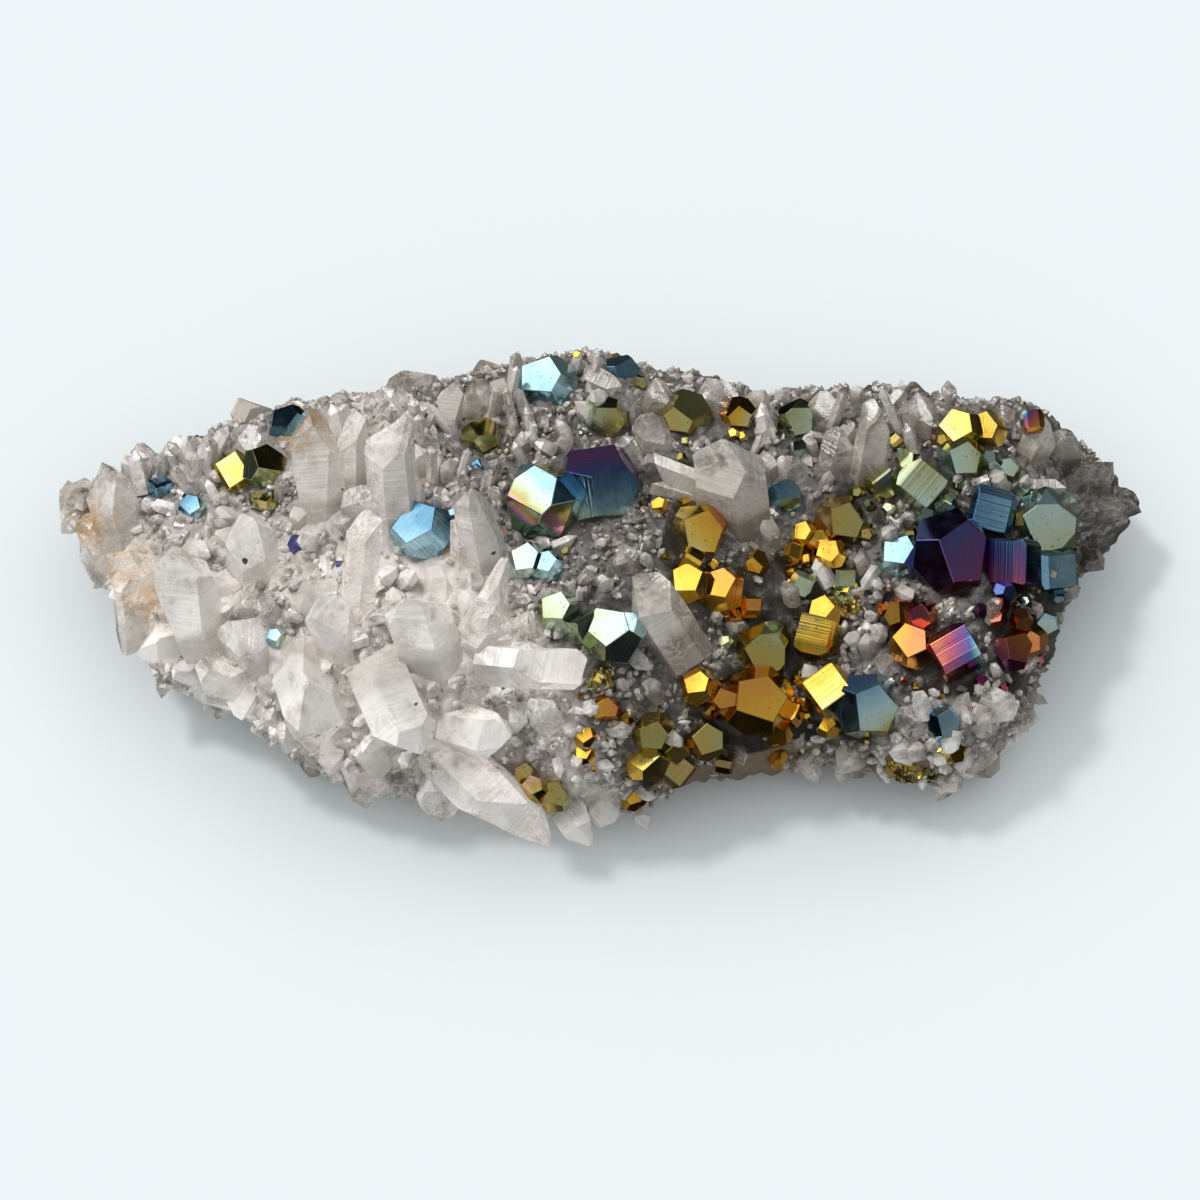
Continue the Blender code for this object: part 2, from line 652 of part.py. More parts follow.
FLATNESS = math.radians(0.5)


def settled(thing):
    """Applies a piece's modifiers, cuts it flat where it rests and keeps its largest body."""
    evaluated = thing.evaluated_get(bpy.context.evaluated_depsgraph_get())
    mesh = bpy.data.meshes.new_from_object(evaluated)
    shape = bmesh.new()
    shape.from_mesh(mesh)
    everything = shape.verts[:] + shape.edges[:] + shape.faces[:]
    bmesh.ops.bisect_plane(
        shape,
        geom=everything,
        dist=RESTING_PRECISION,
        plane_co=(0, 0, 0),
        plane_no=(0, 0, -1),
        clear_outer=True,
    )
    rim = [edge for edge in shape.edges if edge.is_boundary]
    if rim:
        bmesh.ops.holes_fill(shape, edges=rim, sides=0)
    bmesh.ops.dissolve_limit(shape, angle_limit=FLATNESS, verts=shape.verts, edges=shape.edges)
    bmesh.ops.triangulate(shape, faces=shape.faces)
    bodies = []
    unseen = set(shape.verts)
    while unseen:
        body, front = set(), [unseen.pop()]
        while front:
            vertex = front.pop()
            body.add(vertex)
            near = [edge.other_vert(vertex) for edge in vertex.link_edges]
            fresh = [other for other in near if other in unseen]
            unseen.difference_update(fresh)
            front.extend(fresh)
        bodies.append(body)
    bodies.sort(key=len)
    for crumb in bodies[:-1]:
        bmesh.ops.delete(shape, geom=list(crumb), context="VERTS")
    shape.to_mesh(mesh)
    shape.free()
    thing.modifiers.clear()
    thing.data = mesh


def grown(shape, gap):
    """The shape with each point moved out along its normal."""
    shape.normal_update()
    moved = [vertex.co + vertex.normal * gap for vertex in shape.verts]
    for vertex, place in zip(shape.verts, moved):
        vertex.co = place
    return shape


def quartz_on_rock(name, collection, surface, grow=0.0):
    """The lump with every quartz crystal joined to it, or the same shape grown by a gap."""
    crystals = collection_named(f"{name}_crystals")
    lump = grown(lump_mesh(RINGS_ALONG, SIDES_AROUND), grow * POINTS_OVER_FACES)
    joined = object_from(lump, name, collection, finish("quartz"))
    shapes = [placed_quartz(surface, quartz, number, grow) for number, quartz in enumerate(QUARTZ)]
    shapes.extend(back_crystals(surface, grow))
    for number, shape in enumerate(shapes):
        hidden(object_from(shape, f"{name}_crystal_{number:02d}", crystals))
    combined(joined, crystals, "UNION")
    return joined


def build():
    for thing in list(bpy.data.objects):
        bpy.data.objects.remove(thing)
    specimen = collection_named("rainbow_pyrite")
    seats = collection_named("pyrite_seats")

    lump_surface = BVHTree.FromBMesh(lump_mesh(RINGS_ALONG, SIDES_AROUND))
    matrix = quartz_on_rock("quartz_matrix", specimen, lump_surface)
    settled(matrix)
    settled(hidden(quartz_on_rock("seat", seats, lump_surface, SEAT_GAP)))
    bare = bmesh.new()
    bare.from_mesh(matrix.data)
    surface = BVHTree.FromBMesh(bare)
    bare.free()

    for name, crystals in PYRITES.items():
        material = finish(name.split("_")[1])
        first = object_from(placed_pyrite(surface, crystals[0], f"{name} 0"), name, specimen, material)
        if len(crystals) > 1:
            intergrown = collection_named(f"{name}_joined")
            for number, pyrite in enumerate(crystals[1:], 1):
                shape = placed_pyrite(surface, pyrite, f"{name} {number}")
                hidden(object_from(shape, f"{name}_twin_{number}", intergrown))
            combined(first, intergrown, "UNION")
        combined(first, seats, "DIFFERENCE")
        settled(first)

    for name, grains in GRAIN_CRUSTS.items():
        crust = object_from(placed_grains(surface, grains, name), name, specimen, finish("grains"))
        combined(crust, seats, "DIFFERENCE")
        settled(crust)


build()
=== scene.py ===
import json
import math
import random
from collections import namedtuple

import bmesh
import bpy
import numpy as np
from mathutils import Matrix, Vector, noise
from mathutils.bvhtree import BVHTree

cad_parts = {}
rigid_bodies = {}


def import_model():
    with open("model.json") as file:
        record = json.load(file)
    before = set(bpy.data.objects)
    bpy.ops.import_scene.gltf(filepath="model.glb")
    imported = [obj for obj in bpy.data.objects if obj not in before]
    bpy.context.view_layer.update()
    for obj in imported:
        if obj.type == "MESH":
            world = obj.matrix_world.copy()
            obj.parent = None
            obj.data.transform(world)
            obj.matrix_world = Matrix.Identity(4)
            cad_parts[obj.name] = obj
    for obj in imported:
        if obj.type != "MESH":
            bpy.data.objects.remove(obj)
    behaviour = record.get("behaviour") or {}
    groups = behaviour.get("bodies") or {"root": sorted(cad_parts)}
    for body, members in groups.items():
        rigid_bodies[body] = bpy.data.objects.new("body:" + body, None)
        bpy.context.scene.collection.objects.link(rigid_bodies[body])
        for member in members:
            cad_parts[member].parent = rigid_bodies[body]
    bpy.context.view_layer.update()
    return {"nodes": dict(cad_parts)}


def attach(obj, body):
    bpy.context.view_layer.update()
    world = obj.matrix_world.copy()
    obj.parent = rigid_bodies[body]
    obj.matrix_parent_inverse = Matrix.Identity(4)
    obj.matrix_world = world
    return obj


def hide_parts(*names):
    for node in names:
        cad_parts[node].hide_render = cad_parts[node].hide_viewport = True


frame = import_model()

# Rock and massive quartz
# The lump that carries every crystal: grey altered rock, cemented and overgrown by massive white quartz
# before the open crystals grew on it. It was broken off nearly flat below, where it rests.
LENGTH = 0.120
PIXELS_LONG = 1076
PIXEL = LENGTH / PIXELS_LONG
MIDDLE_PIXEL = (600, 600)
SIGHT_FALL = math.radians(60)
WAIST_HEIGHT = 0.010
ACROSS = Vector((1, 0, 0))
UPWARD = Vector((0, math.sin(SIGHT_FALL), math.cos(SIGHT_FALL)))
TO_VIEWER = Vector((0, -math.cos(SIGHT_FALL), math.sin(SIGHT_FALL)))
SIGHT_CENTRE = Vector((0, 0, WAIST_HEIGHT))
SIGHT_DISTANCE = 0.2

Station = namedtuple("Station", "pixel_x upper lower")
OUTLINE = [Station(*row) for row in (
    (68, 504, 530), (84, 478, 562), (105, 464, 600), (130, 456, 642), (165, 446, 682), (200, 440, 698),
    (250, 430, 720), (300, 420, 756), (350, 412, 776), (400, 406, 794), (440, 398, 798), (480, 388, 796),
    (520, 378, 800), (560, 368, 808), (600, 366, 812), (650, 378, 800), (700, 382, 780), (760, 397, 766),
    (815, 396, 755), (860, 394, 764), (910, 397, 772), (950, 404, 770), (985, 405, 752), (1015, 406, 704),
    (1045, 410, 644), (1075, 424, 602), (1105, 446, 576), (1128, 480, 538), (1136, 498, 520),
)]
Swell = namedtuple("Swell", "pixel_x pixel_y reach rise")
SWELLS = [Swell(*row) for row in (
    (420, 650, 0.015, 0.0035), (250, 590, 0.012, 0.0010), (380, 470, 0.010, 0.0015),
    (630, 580, 0.010, 0.0015), (700, 660, 0.012, -0.0030), (860, 620, 0.014, -0.0025),
    (530, 690, 0.008, 0.0010), (1090, 520, 0.008, -0.0010), (600, 780, 0.008, -0.0012),
)]
BULGE, UNDERSIDE_DEPTH = 0.30, 0.92
END_CROWDING, END_BLUNTNESS = 0.35, 10
WIDTH_POWER, HEIGHT_POWER = 0.9, 0.8
LUMPS = ((0.0016, 60.0), (0.0008, 190.0))
GRAINS_OF_LUMP = ((0.00020, 520.0), (0.00014, 1100.0))
DRUSE_POINTS = ((0.0011, 520.0), (0.0005, 1100.0))
DRUSE_LEVEL = 0.45
LUMP_SEED = 3
LUMP_RINGS, LUMP_SIDES = 330, 250
LUMP_COVER = 0.00035
MILK_EDGE, MILK_LEVEL, MILK_FADE = 480, 480, 50
MILK_SLOPE_BELOW, MILK_SLOPE_ABOVE = 0.48, 0.6
GREYER_ABOVE, GREYER_SHARE = (590, 480), 0.42
PALE_CORNER, PALE_CORNER_MILK = ((850, 880), (675, 705)), 0.6
DARK_END, DARK_END_SHARE = (1030, 1075), 0.6
DARK_ZONE, DARK_PATCH_SCALE, DARK_PATCHES = ((600, 680), (400, 470)), 150.0, (-0.22, 0.06)
LIP_STARTS, LIP_ENDS, LIP_HEIGHT = (620, 660), (990, 950), (22, 8)


def in_picture(pixel_x, pixel_y):
    return (pixel_x - MIDDLE_PIXEL[0]) * PIXEL, (MIDDLE_PIXEL[1] - pixel_y) * PIXEL


def pixel_of(point):
    offset = point - SIGHT_CENTRE
    return MIDDLE_PIXEL[0] + offset.dot(ACROSS) / PIXEL, MIDDLE_PIXEL[1] - offset.dot(UPWARD) / PIXEL


def between(stations, pixel_x, field):
    """A smooth value at pixel_x, through one field of the stations that lie around it."""
    last = len(stations) - 2
    at = max(0, min(last, sum(s.pixel_x <= pixel_x for s in stations) - 1))
    four = [stations[max(0, min(last + 1, at + step))] for step in (-1, 0, 1, 2)]
    before, start, end, after = (getattr(s, field) for s in four)
    width = four[2].pixel_x - four[1].pixel_x
    share = max(0.0, min(1.0, (pixel_x - four[1].pixel_x) / width))
    leaving = (end - before) / max(1, four[2].pixel_x - four[0].pixel_x) * width
    arriving = (after - start) / max(1, four[3].pixel_x - four[1].pixel_x) * width
    square, cube = share**2, share**3
    return (
        (2 * cube - 3 * square + 1) * start
        + (cube - 2 * square + share) * leaving
        + (3 * square - 2 * cube) * end
        + (cube - square) * arriving
    )


def signed_power(value, power):
    return math.copysign(abs(value) ** power, value)


def lump_point(lean, around):
    """A point of the lump: lean runs from tip to tip, around goes round its section."""
    share = (1 - END_CROWDING) * lean / (math.pi / 2) + END_CROWDING * math.sin(lean)
    closing = math.sqrt(max(0.0, 1 - abs(share) ** END_BLUNTNESS))
    left, right = OUTLINE[0].pixel_x, OUTLINE[-1].pixel_x
    pixel_x = left + (right - left) * (share + 1) / 2
    across, upper = in_picture(pixel_x, between(OUTLINE, pixel_x, "upper"))
    _, lower = in_picture(pixel_x, between(OUTLINE, pixel_x, "lower"))
    span = (upper - lower) * closing
    bulge = BULGE * span
    half_width = math.sqrt((span / 2) ** 2 - (math.cos(SIGHT_FALL) * bulge) ** 2) / math.sin(SIGHT_FALL)
    cosine, sine = math.cos(around), math.sin(around)
    depth = bulge if sine > 0 else bulge * UNDERSIDE_DEPTH
    along_y = (upper + lower) / 2 / math.sin(SIGHT_FALL) + half_width * signed_power(cosine, WIDTH_POWER)
    height = WAIST_HEIGHT + depth * signed_power(sine, HEIGHT_POWER)
    return roughened(Vector((across, along_y, height)), max(0.0, sine))


def roughened(point, topside):
    """The point moved by the swells of the upper side and by the lumps of the whole surface."""
    pixel_x, pixel_y = pixel_of(point)
    for swell in SWELLS:
        away = math.hypot(pixel_x - swell.pixel_x, pixel_y - swell.pixel_y) * PIXEL / swell.reach
        point = point + Vector((0, 0, swell.rise * topside * math.exp(-away * away)))
    for height, frequency in LUMPS:
        point = point + noise.noise_vector(point * frequency) * height
    return point


def part_way(span, share):
    return span[0] + (span[1] - span[0]) * share


def smooth_share(value, low, high):
    share = max(0.0, min(1.0, (value - low) / (high - low)))
    return share**2 * (3 - 2 * share)


def pale_corner(pixel_x, pixel_y):
    return smooth_share(pixel_x, *PALE_CORNER[0]) * smooth_share(pixel_y, *PALE_CORNER[1])


def milkiness(point):
    """How milky the quartz is at a point: 1 at the left and below, 0 at the right, and greyer towards the
    top of the view.
    """
    pixel_x, pixel_y = pixel_of(point)
    below, above = max(0.0, pixel_y - MILK_LEVEL), max(0.0, MILK_LEVEL - pixel_y)
    edge = MILK_EDGE + below * MILK_SLOPE_BELOW - above * MILK_SLOPE_ABOVE
    greyer_above = 1 - GREYER_SHARE * smooth_share(pixel_y, *GREYER_ABOVE)
    milky = greyer_above * smooth_share(edge - pixel_x, -MILK_FADE, MILK_FADE)
    return max(milky, PALE_CORNER_MILK * pale_corner(pixel_x, pixel_y))


def dark_end(point):
    """How far into the dark, glassy right end a point lies."""
    return DARK_END_SHARE * smooth_share(pixel_of(point)[0], *DARK_END)


def dark_rock_and_gap_shade(point):
    """How dark the rock is: brown-black rock in patches between the pyrites, partly painted shade for the
    dark gaps there.
    """
    pixel_x, pixel_y = pixel_of(point)
    zone = smooth_share(pixel_x, *DARK_ZONE[0]) * smooth_share(pixel_y, *DARK_ZONE[1])
    patches = smooth_share(noise.noise(point * DARK_PATCH_SCALE), *DARK_PATCHES)
    return zone * patches * (1 - 0.85 * pale_corner(pixel_x, pixel_y))


def brown_lip(point):
    """Where the thin brown edge of the rock shows, below the pyrites."""
    pixel_x, pixel_y = pixel_of(point)
    edge = between(OUTLINE, pixel_x, "lower")
    along_edge = smooth_share(pixel_x, *LIP_STARTS) * smooth_share(pixel_x, *LIP_ENDS)
    return along_edge * smooth_share(edge - pixel_y, *LIP_HEIGHT)


def nearest_pyrites():
    """One search tree over every pyrite of the CAD frame."""
    points, faces = [], []
    for name, node in frame["nodes"].items():
        if name.startswith("pyrite"):
            start = len(points)
            points.extend(vertex.co.copy() for vertex in node.data.vertices)
            faces.extend([start + corner for corner in face.vertices] for face in node.data.polygons)
    return BVHTree.FromPolygons(points, faces)


pyrite_surface = nearest_pyrites()
LONGEST_COVER, SUNK_BEHIND = 0.0030, 0.0002


def cover_over_pyrite(point, reach):
    """How far behind a point, as the viewer looks, the front of a pyrite lies. None where there is none."""
    _, facing, _, distance = pyrite_surface.ray_cast(point, -TO_VIEWER, reach)
    return distance if facing is not None and facing.dot(TO_VIEWER) > 0 else None


def fine_lump():
    noise.seed_set(LUMP_SEED)
    shape = bmesh.new()
    bmesh.ops.create_uvsphere(shape, u_segments=LUMP_SIDES, v_segments=LUMP_RINGS, radius=1)
    for vertex in shape.verts:
        lean = math.asin(max(-1.0, min(1.0, vertex.co.z)))
        vertex.co = lump_point(lean, math.atan2(vertex.co.y, vertex.co.x))
    bmesh.ops.recalc_face_normals(shape, faces=shape.faces)
    shape.normal_update()
    outward = [vertex.normal.copy() for vertex in shape.verts]
    for vertex, normal in zip(shape.verts, outward):
        rise = LUMP_COVER
        for height, frequency in GRAINS_OF_LUMP:
            rise += height * noise.noise(vertex.co * frequency)
        for height, frequency in DRUSE_POINTS:
            nearest, _ = noise.voronoi(vertex.co * frequency)
            rise += height * (DRUSE_LEVEL - nearest[0])
        moved = vertex.co + normal * rise
        cover = cover_over_pyrite(moved, LONGEST_COVER)
        if cover is not None:
            moved -= TO_VIEWER * (cover + SUNK_BEHIND)
        vertex.co = Vector((moved.x, moved.y, max(0.0, moved.z)))
    return shape


def shown(name, shape, finish, replaced=(), slot="quartz"):
    """Puts a shape in the scene as a piece that rides on the specimen's one body."""
    if isinstance(shape, bmesh.types.BMesh):
        mesh = bpy.data.meshes.new(name)
        shape.to_mesh(mesh)
        shape.free()
    else:
        mesh = shape
    mesh.materials.append(finish)
    piece = bpy.data.objects.new(name, mesh)
    bpy.context.scene.collection.objects.link(piece)
    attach(piece, "root")
    if replaced:
        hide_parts(*replaced)
    return piece


class Shade:
    """A socket of a material's node tree. Sums and products of sockets add their Math nodes."""

    def __init__(self, tree, socket=None):
        self.tree, self.socket = tree, socket

    def node(self, kind, settings=None, inputs=None, output=None):
        """Adds a node: first its settings, then its sockets' values or links. Gives one of its outputs."""
        made = self.tree.nodes.new(f"ShaderNode{kind}")
        for name, value in (settings or {}).items():
            if name == "stops":
                ramp = made.color_ramp
                ramp.elements[0].position = value[0][0]
                ramp.elements[1].position = value[-1][0]
                for place, _ in value[1:-1]:
                    ramp.elements.new(place)
                for element, (_, colour) in zip(ramp.elements, value):
                    element.color = (*colour, 1)
            else:
                setattr(made, name, value)
        for key, value in (inputs or {}).items():
            named = [s for s in made.inputs if s.enabled and s.name == key]
            socket = made.inputs[key] if isinstance(key, int) else named[0]
            if isinstance(value, Shade):
                self.tree.links.new(value.socket, socket)
            elif socket.type == "RGBA":
                socket.default_value = (*value[:3], 1)
            else:
                socket.default_value = value
        outputs = [s for s in made.outputs if s.enabled and output in (None, s.name)]
        return Shade(self.tree, outputs[0] if outputs else None)

    def maths(self, operation, *values):
        return self.node("Math", {"operation": operation}, dict(enumerate(values)))

    def __add__(self, other):
        return self.maths("ADD", self, other)

    def __sub__(self, other):
        return self.maths("SUBTRACT", self, other)

    def __rsub__(self, other):
        return self.maths("SUBTRACT", other, self)

    def __mul__(self, other):
        return self.maths("MULTIPLY", self, other)

    def __truediv__(self, other):
        return self.maths("DIVIDE", self, other)

    __radd__ = __add__
    __rmul__ = __mul__

    def ranged(self, low, high, to_low=0.0, to_high=1.0):
        """This value moved smoothly from one range to another, and held at its ends."""
        settings = {"interpolation_type": "SMOOTHSTEP"}
        inputs = {"Value": self, "From Min": low, "From Max": high, "To Min": to_low, "To Max": to_high}
        return self.node("MapRange", settings, inputs)

    def mixed(self, factor, first, second, blend="MIX"):
        settings = {"data_type": "RGBA", "blend_type": blend}
        return self.node("Mix", settings, {"Factor": factor, "A": first, "B": second})

    def speckle(self, place, scale, detail=2.0, roughness=0.5):
        inputs = {"Vector": place, "Scale": scale, "Detail": detail, "Roughness": roughness}
        return self.node("TexNoise", {}, inputs, "Fac")

    def spots(self, place, kind):
        """Soft-edged spots of one kind, 1 inside them and 0 between them."""
        return self.speckle(place, kind.scale, kind.detail).ranged(kind.low, kind.high)

    def bands(self, along):
        """Uneven bands that follow one another along a value."""
        inputs = {"W": along, "Scale": 1.0, "Detail": 2.0}
        return self.node("TexNoise", {"noise_dimensions": "1D"}, inputs, "Fac")

    def carried(self, label):
        """A value that the mesh carries under this label."""
        return self.node("Attribute", {"attribute_name": label}, output="Fac")


def new_finish(name):
    material = bpy.data.materials.new(name)
    material.use_nodes = True
    material.node_tree.nodes.clear()
    return material, Shade(material.node_tree)


def seat_of(surface, pixel_x, pixel_y):
    """The point of a surface that is seen at a pixel, or its nearest one for a pixel just off its edge."""
    across, up = in_picture(pixel_x, pixel_y)
    middle = SIGHT_CENTRE + ACROSS * across + UPWARD * up
    point, _, _, _ = surface.ray_cast(middle + TO_VIEWER * SIGHT_DISTANCE, -TO_VIEWER)
    if point is None:
        point, _, _, _ = surface.find_nearest(middle)
    return point


lump_shape = fine_lump()
lump_surface = BVHTree.FromBMesh(lump_shape)

MASSIVE_WHITE, SHADED_WHITE, WHITE_GRIT = (0.62, 0.56, 0.51), (0.40, 0.36, 0.32), (0.8, 0.77, 0.73)
GREY_ROCK_AND_GAP_SHADE, HOST_ROCK = (0.070, 0.061, 0.052), (0.085, 0.08, 0.072)
DARK_ROCK_AND_SHADE, LIP_BROWN = (0.030, 0.022, 0.015), (0.20, 0.145, 0.095)
OCHRE, RUST, SPECK_BLACK = (0.55, 0.34, 0.13), (0.30, 0.12, 0.04), (0.02, 0.02, 0.02)
Spots = namedtuple("Spots", "scale detail low high")
WHITE_PATCHES, RUST_SPECKS = Spots(240, 3, 0.38, 0.6), Spots(700, 2, 0.70, 0.76)
BLACK_SPECKS = Spots(2300, 1, 0.74, 0.78)
GREY_TO_ROCK, BLOTCHED_EDGE = (0.044, 0.052), 0.03
QUARTZ_IOR = 1.544
Stain = namedtuple("Stain", "pixel_x pixel_y reach")
OCHRE_STAINS = [Stain(*row) for row in (
    (122, 575, 0.004), (308, 425, 0.0035), (448, 550, 0.002), (88, 520, 0.003), (150, 605, 0.002),
)]
STAIN_EDGE, STAIN_WANDER = (0.4, 1.5), (0.35, 0.62)


def stain_on(shade, place, surface):
    """How deeply iron has stained the quartz, from a few spots that bleed along the surface."""
    wander = shade.speckle(place, 420, 4)
    total = None
    for stain in OCHRE_STAINS:
        spot = tuple(seat_of(surface, stain.pixel_x, stain.pixel_y))
        away = shade.node("VectorMath", {"operation": "DISTANCE"}, {0: place, 1: spot}, "Value")
        near = away.ranged(stain.reach * STAIN_EDGE[0], stain.reach * STAIN_EDGE[1], 1.0, 0.0)
        total = near if total is None else total + near
    return total * wander.ranged(*STAIN_WANDER)


rock_finish, shade = new_finish("rock_and_massive_quartz")
place = shade.node("TexCoord", output="Object")
along = shade.node("SeparateXYZ", {}, {0: place}, "X")
blotches = shade.speckle(place, 160, 5)
grit = shade.speckle(place, 1500, 3)
drift = along + (blotches - 0.5) * BLOTCHED_EDGE
white = shade.mixed(shade.spots(place, WHITE_PATCHES), SHADED_WHITE, MASSIVE_WHITE)
milk = shade.carried("milk")
# Where the quartz is less milky the lump turns near black: grey rock, and partly painted shade for the gaps
# between the crystals.
colour = shade.mixed(milk.ranged(0.45, 0.95), GREY_ROCK_AND_GAP_SHADE, white)
colour = shade.mixed(grit.ranged(0.3, 0.7) * (milk * 0.3 + 0.12), colour, WHITE_GRIT)
dark = shade.carried("dark")
# Partly painted shade: the dark patches between the pyrites are dark rock and the shade of the gaps there.
colour = shade.mixed((dark + (grit - 0.5) * 0.6).ranged(0.25, 0.5), colour, DARK_ROCK_AND_SHADE)
lip = shade.carried("lip")
colour = shade.mixed((lip + (grit - 0.5) * 0.5).ranged(0.3, 0.6), colour, LIP_BROWN)
colour = shade.mixed(drift.ranged(*GREY_TO_ROCK), colour, HOST_ROCK)
colour = shade.mixed(stain_on(shade, place, lump_surface), colour, OCHRE)
colour = shade.mixed(shade.spots(place, RUST_SPECKS), colour, RUST)
colour = shade.mixed(shade.spots(place, BLACK_SPECKS), colour, SPECK_BLACK)
relief = shade.node("Bump", {}, {"Strength": 0.7, "Distance": 0.0002, "Height": grit})
surface = shade.node("BsdfPrincipled", {}, {
    "Base Color": colour, "Roughness": grit.ranged(0.2, 0.8, 0.35, 0.6), "Normal": relief, "IOR": QUARTZ_IOR,
})
shade.node("OutputMaterial", {}, {"Surface": surface})
rock = shown("rock_and_massive_quartz", lump_shape, rock_finish, ("quartz_matrix",))
rock.data.shade_smooth()
for label, rule in (("dark", dark_rock_and_gap_shade), ("lip", brown_lip), ("milk", milkiness)):
    shares = np.array([rule(vertex.co) for vertex in rock.data.vertices], np.float32)
    rock.data.attributes.new(label, "FLOAT", "POINT").data.foreach_set("value", shares)

# Large quartz crystals
# Six-sided prisms with six-faced ends, grown out of the massive quartz. Those at the left and below are
# milky with trapped water; those in the middle and along the top are greyer and clearer.
Quartz = namedtuple("Quartz", "foot tip width lean")
QUARTZ = [Quartz(*row) for row in (
    ((118, 520), (96, 446), 56, 12), ((100, 535), (66, 518), 40, 18), ((144, 462), (140, 434), 32, 14),
    ((176, 460), (176, 428), 36, 16), ((216, 452), (214, 422), 44, 18), ((246, 446), (256, 414), 34, 20),
    ((326, 500), (312, 402), 52, 20), ((350, 480), (352, 396), 38, 16), ((362, 596), (376, 444), 38, 26),
    ((398, 515), (386, 382), 56, 22), ((412, 515), (422, 428), 24, 18), ((448, 425), (452, 376), 28, 24),
    ((478, 415), (480, 366), 32, 20), ((500, 396), (496, 362), 18, 14), ((514, 396), (523, 341), 22, 8),
    ((558, 372), (558, 340), 44, 4), ((621, 402), (582, 357), 27, 22), ((654, 400), (652, 366), 42, 14),
    ((716, 405), (710, 366), 50, 10), ((756, 405), (766, 385), 34, 14), ((733, 500), (728, 428), 74, 45),
    ((822, 412), (820, 380), 46, 16), ((858, 402), (857, 376), 17, 10), ((868, 470), (880, 392), 38, 26),
    ((915, 415), (918, 384), 52, 14), ((1000, 410), (996, 398), 34, 14), ((700, 488), (574, 438), 30, 12),
    ((722, 505), (628, 478), 25, 15), ((670, 638), (584, 508), 66, 14), ((486, 560), (468, 466), 46, 30),
    ((494, 612), (494, 508), 30, 18), ((462, 580), (462, 492), 28, 26), ((256, 566), (254, 520), 56, 62),
    ((140, 610), (126, 520), 74, 30), ((200, 620), (168, 540), 70, 40), ((318, 690), (300, 738), 88, 56),
    ((388, 690), (428, 782), 62, 20), ((505, 664), (602, 672), 50, 24), ((458, 762), (560, 866), 68, 10),
    ((566, 808), (594, 850), 42, 8), ((448, 768), (430, 830), 44, 10), ((380, 770), (376, 804), 34, 12),
    ((170, 640), (130, 650), 44, 18), ((144, 590), (106, 596), 38, 14), ((196, 668), (170, 688), 36, 14),
    ((246, 692), (238, 722), 38, 20), ((292, 738), (286, 762), 34, 14), ((334, 752), (330, 780), 34, 14),
    ((430, 640), (418, 590), 76, 50), ((340, 640), (322, 588), 48, 44), ((250, 650), (232, 612), 60, 50),
    ((470, 730), (520, 745), 50, 36), ((544, 712), (528, 690), 38, 38), ((440, 590), (446, 610), 40, 44),
    ((604, 806), (606, 838), 38, 10), ((660, 455), (644, 405), 36, 30), ((790, 475), (796, 446), 30, 30),
    ((838, 465), (846, 420), 44, 34), ((905, 720), (886, 706), 36, 34), ((990, 720), (1008, 712), 36, 20),
    ((1062, 456), (1072, 420), 42, 24), ((1092, 480), (1114, 450), 42, 20),
    ((1108, 510), (1138, 500), 40, 16),
    ((1092, 556), (1112, 572), 34, 18), ((1032, 450), (1052, 412), 36, 16), ((422, 468), (414, 440), 24, 24),
    ((446, 474), (450, 452), 20, 30), ((520, 452), (516, 428), 22, 28), ((566, 452), (562, 428), 20, 30),
    ((654, 470), (648, 450), 20, 34), ((766, 472), (758, 444), 28, 30), ((770, 536), (764, 514), 20, 34),
    ((738, 628), (726, 614), 22, 40), ((862, 566), (856, 544), 22, 34), ((868, 648), (864, 626), 24, 34),
    ((790, 596), (784, 578), 20, 36), ((884, 664), (878, 676), 18, 36), ((962, 702), (972, 688), 24, 34),
    ((990, 612), (998, 596), 20, 34), ((1030, 612), (1044, 600), 20, 26), ((652, 690), (646, 672), 24, 36),
    ((738, 752), (742, 768), 18, 24), ((796, 740), (794, 752), 20, 24), ((476, 694), (488, 704), 30, 44),
    ((302, 520), (296, 500), 22, 34), ((228, 520), (220, 502), 26, 34), ((1086, 520), (1096, 512), 38, 48),
    ((1104, 540), (1116, 548), 32, 26), ((640, 820), (650, 806), 26, 20),
)]
BROKEN_ENDS = {(458, 762): 0.88, (566, 808): 0.86, (318, 690): 0.92, (388, 690): 0.94, (505, 664): 0.93}
FROSTED = set(BROKEN_ENDS) | {(670, 638), (733, 500), (256, 566), (340, 640), (470, 730)}
END_FACE_ANGLE = math.radians(51.8)
PRISM_UNEVENNESS, END_UNEVENNESS, LARGER_END_FACES = 0.26, 0.34, 0.10
ROOT_SHARE = 0.45
BREAKS, BREAK_DEPTH, BREAK_HEIGHT, BREAK_RISE = 5, (0.02, 0.22), (0.2, 1.0), (-0.2, 0.9)
END_SLANT = (-0.25, 0.25)
FACET_EDGE, FACETS_ACROSS, MOST_SPLITS = 0.00062, 14, 6
WAVES, FROST = (0.030, 230.0), (0.00007, 900.0)
SHARP_ANGLE = math.radians(26)
COPLANAR = 1e-8


def cleaved(reach, planes):
    """A block cut back by planes, each a normal and its distance from the block's middle."""
    shape = bmesh.new()
    bmesh.ops.create_cube(shape, size=2 * reach)
    for normal, distance in planes:
        everything = shape.verts[:] + shape.edges[:] + shape.faces[:]
        bmesh.ops.bisect_plane(
            shape, geom=everything, dist=COPLANAR, clear_outer=True,
            plane_co=normal * distance, plane_no=normal,
        )
        rim = [edge for edge in shape.edges if edge.is_boundary]
        if rim:
            bmesh.ops.holes_fill(shape, edges=rim, sides=0)
    bmesh.ops.recalc_face_normals(shape, faces=shape.faces)
    return shape


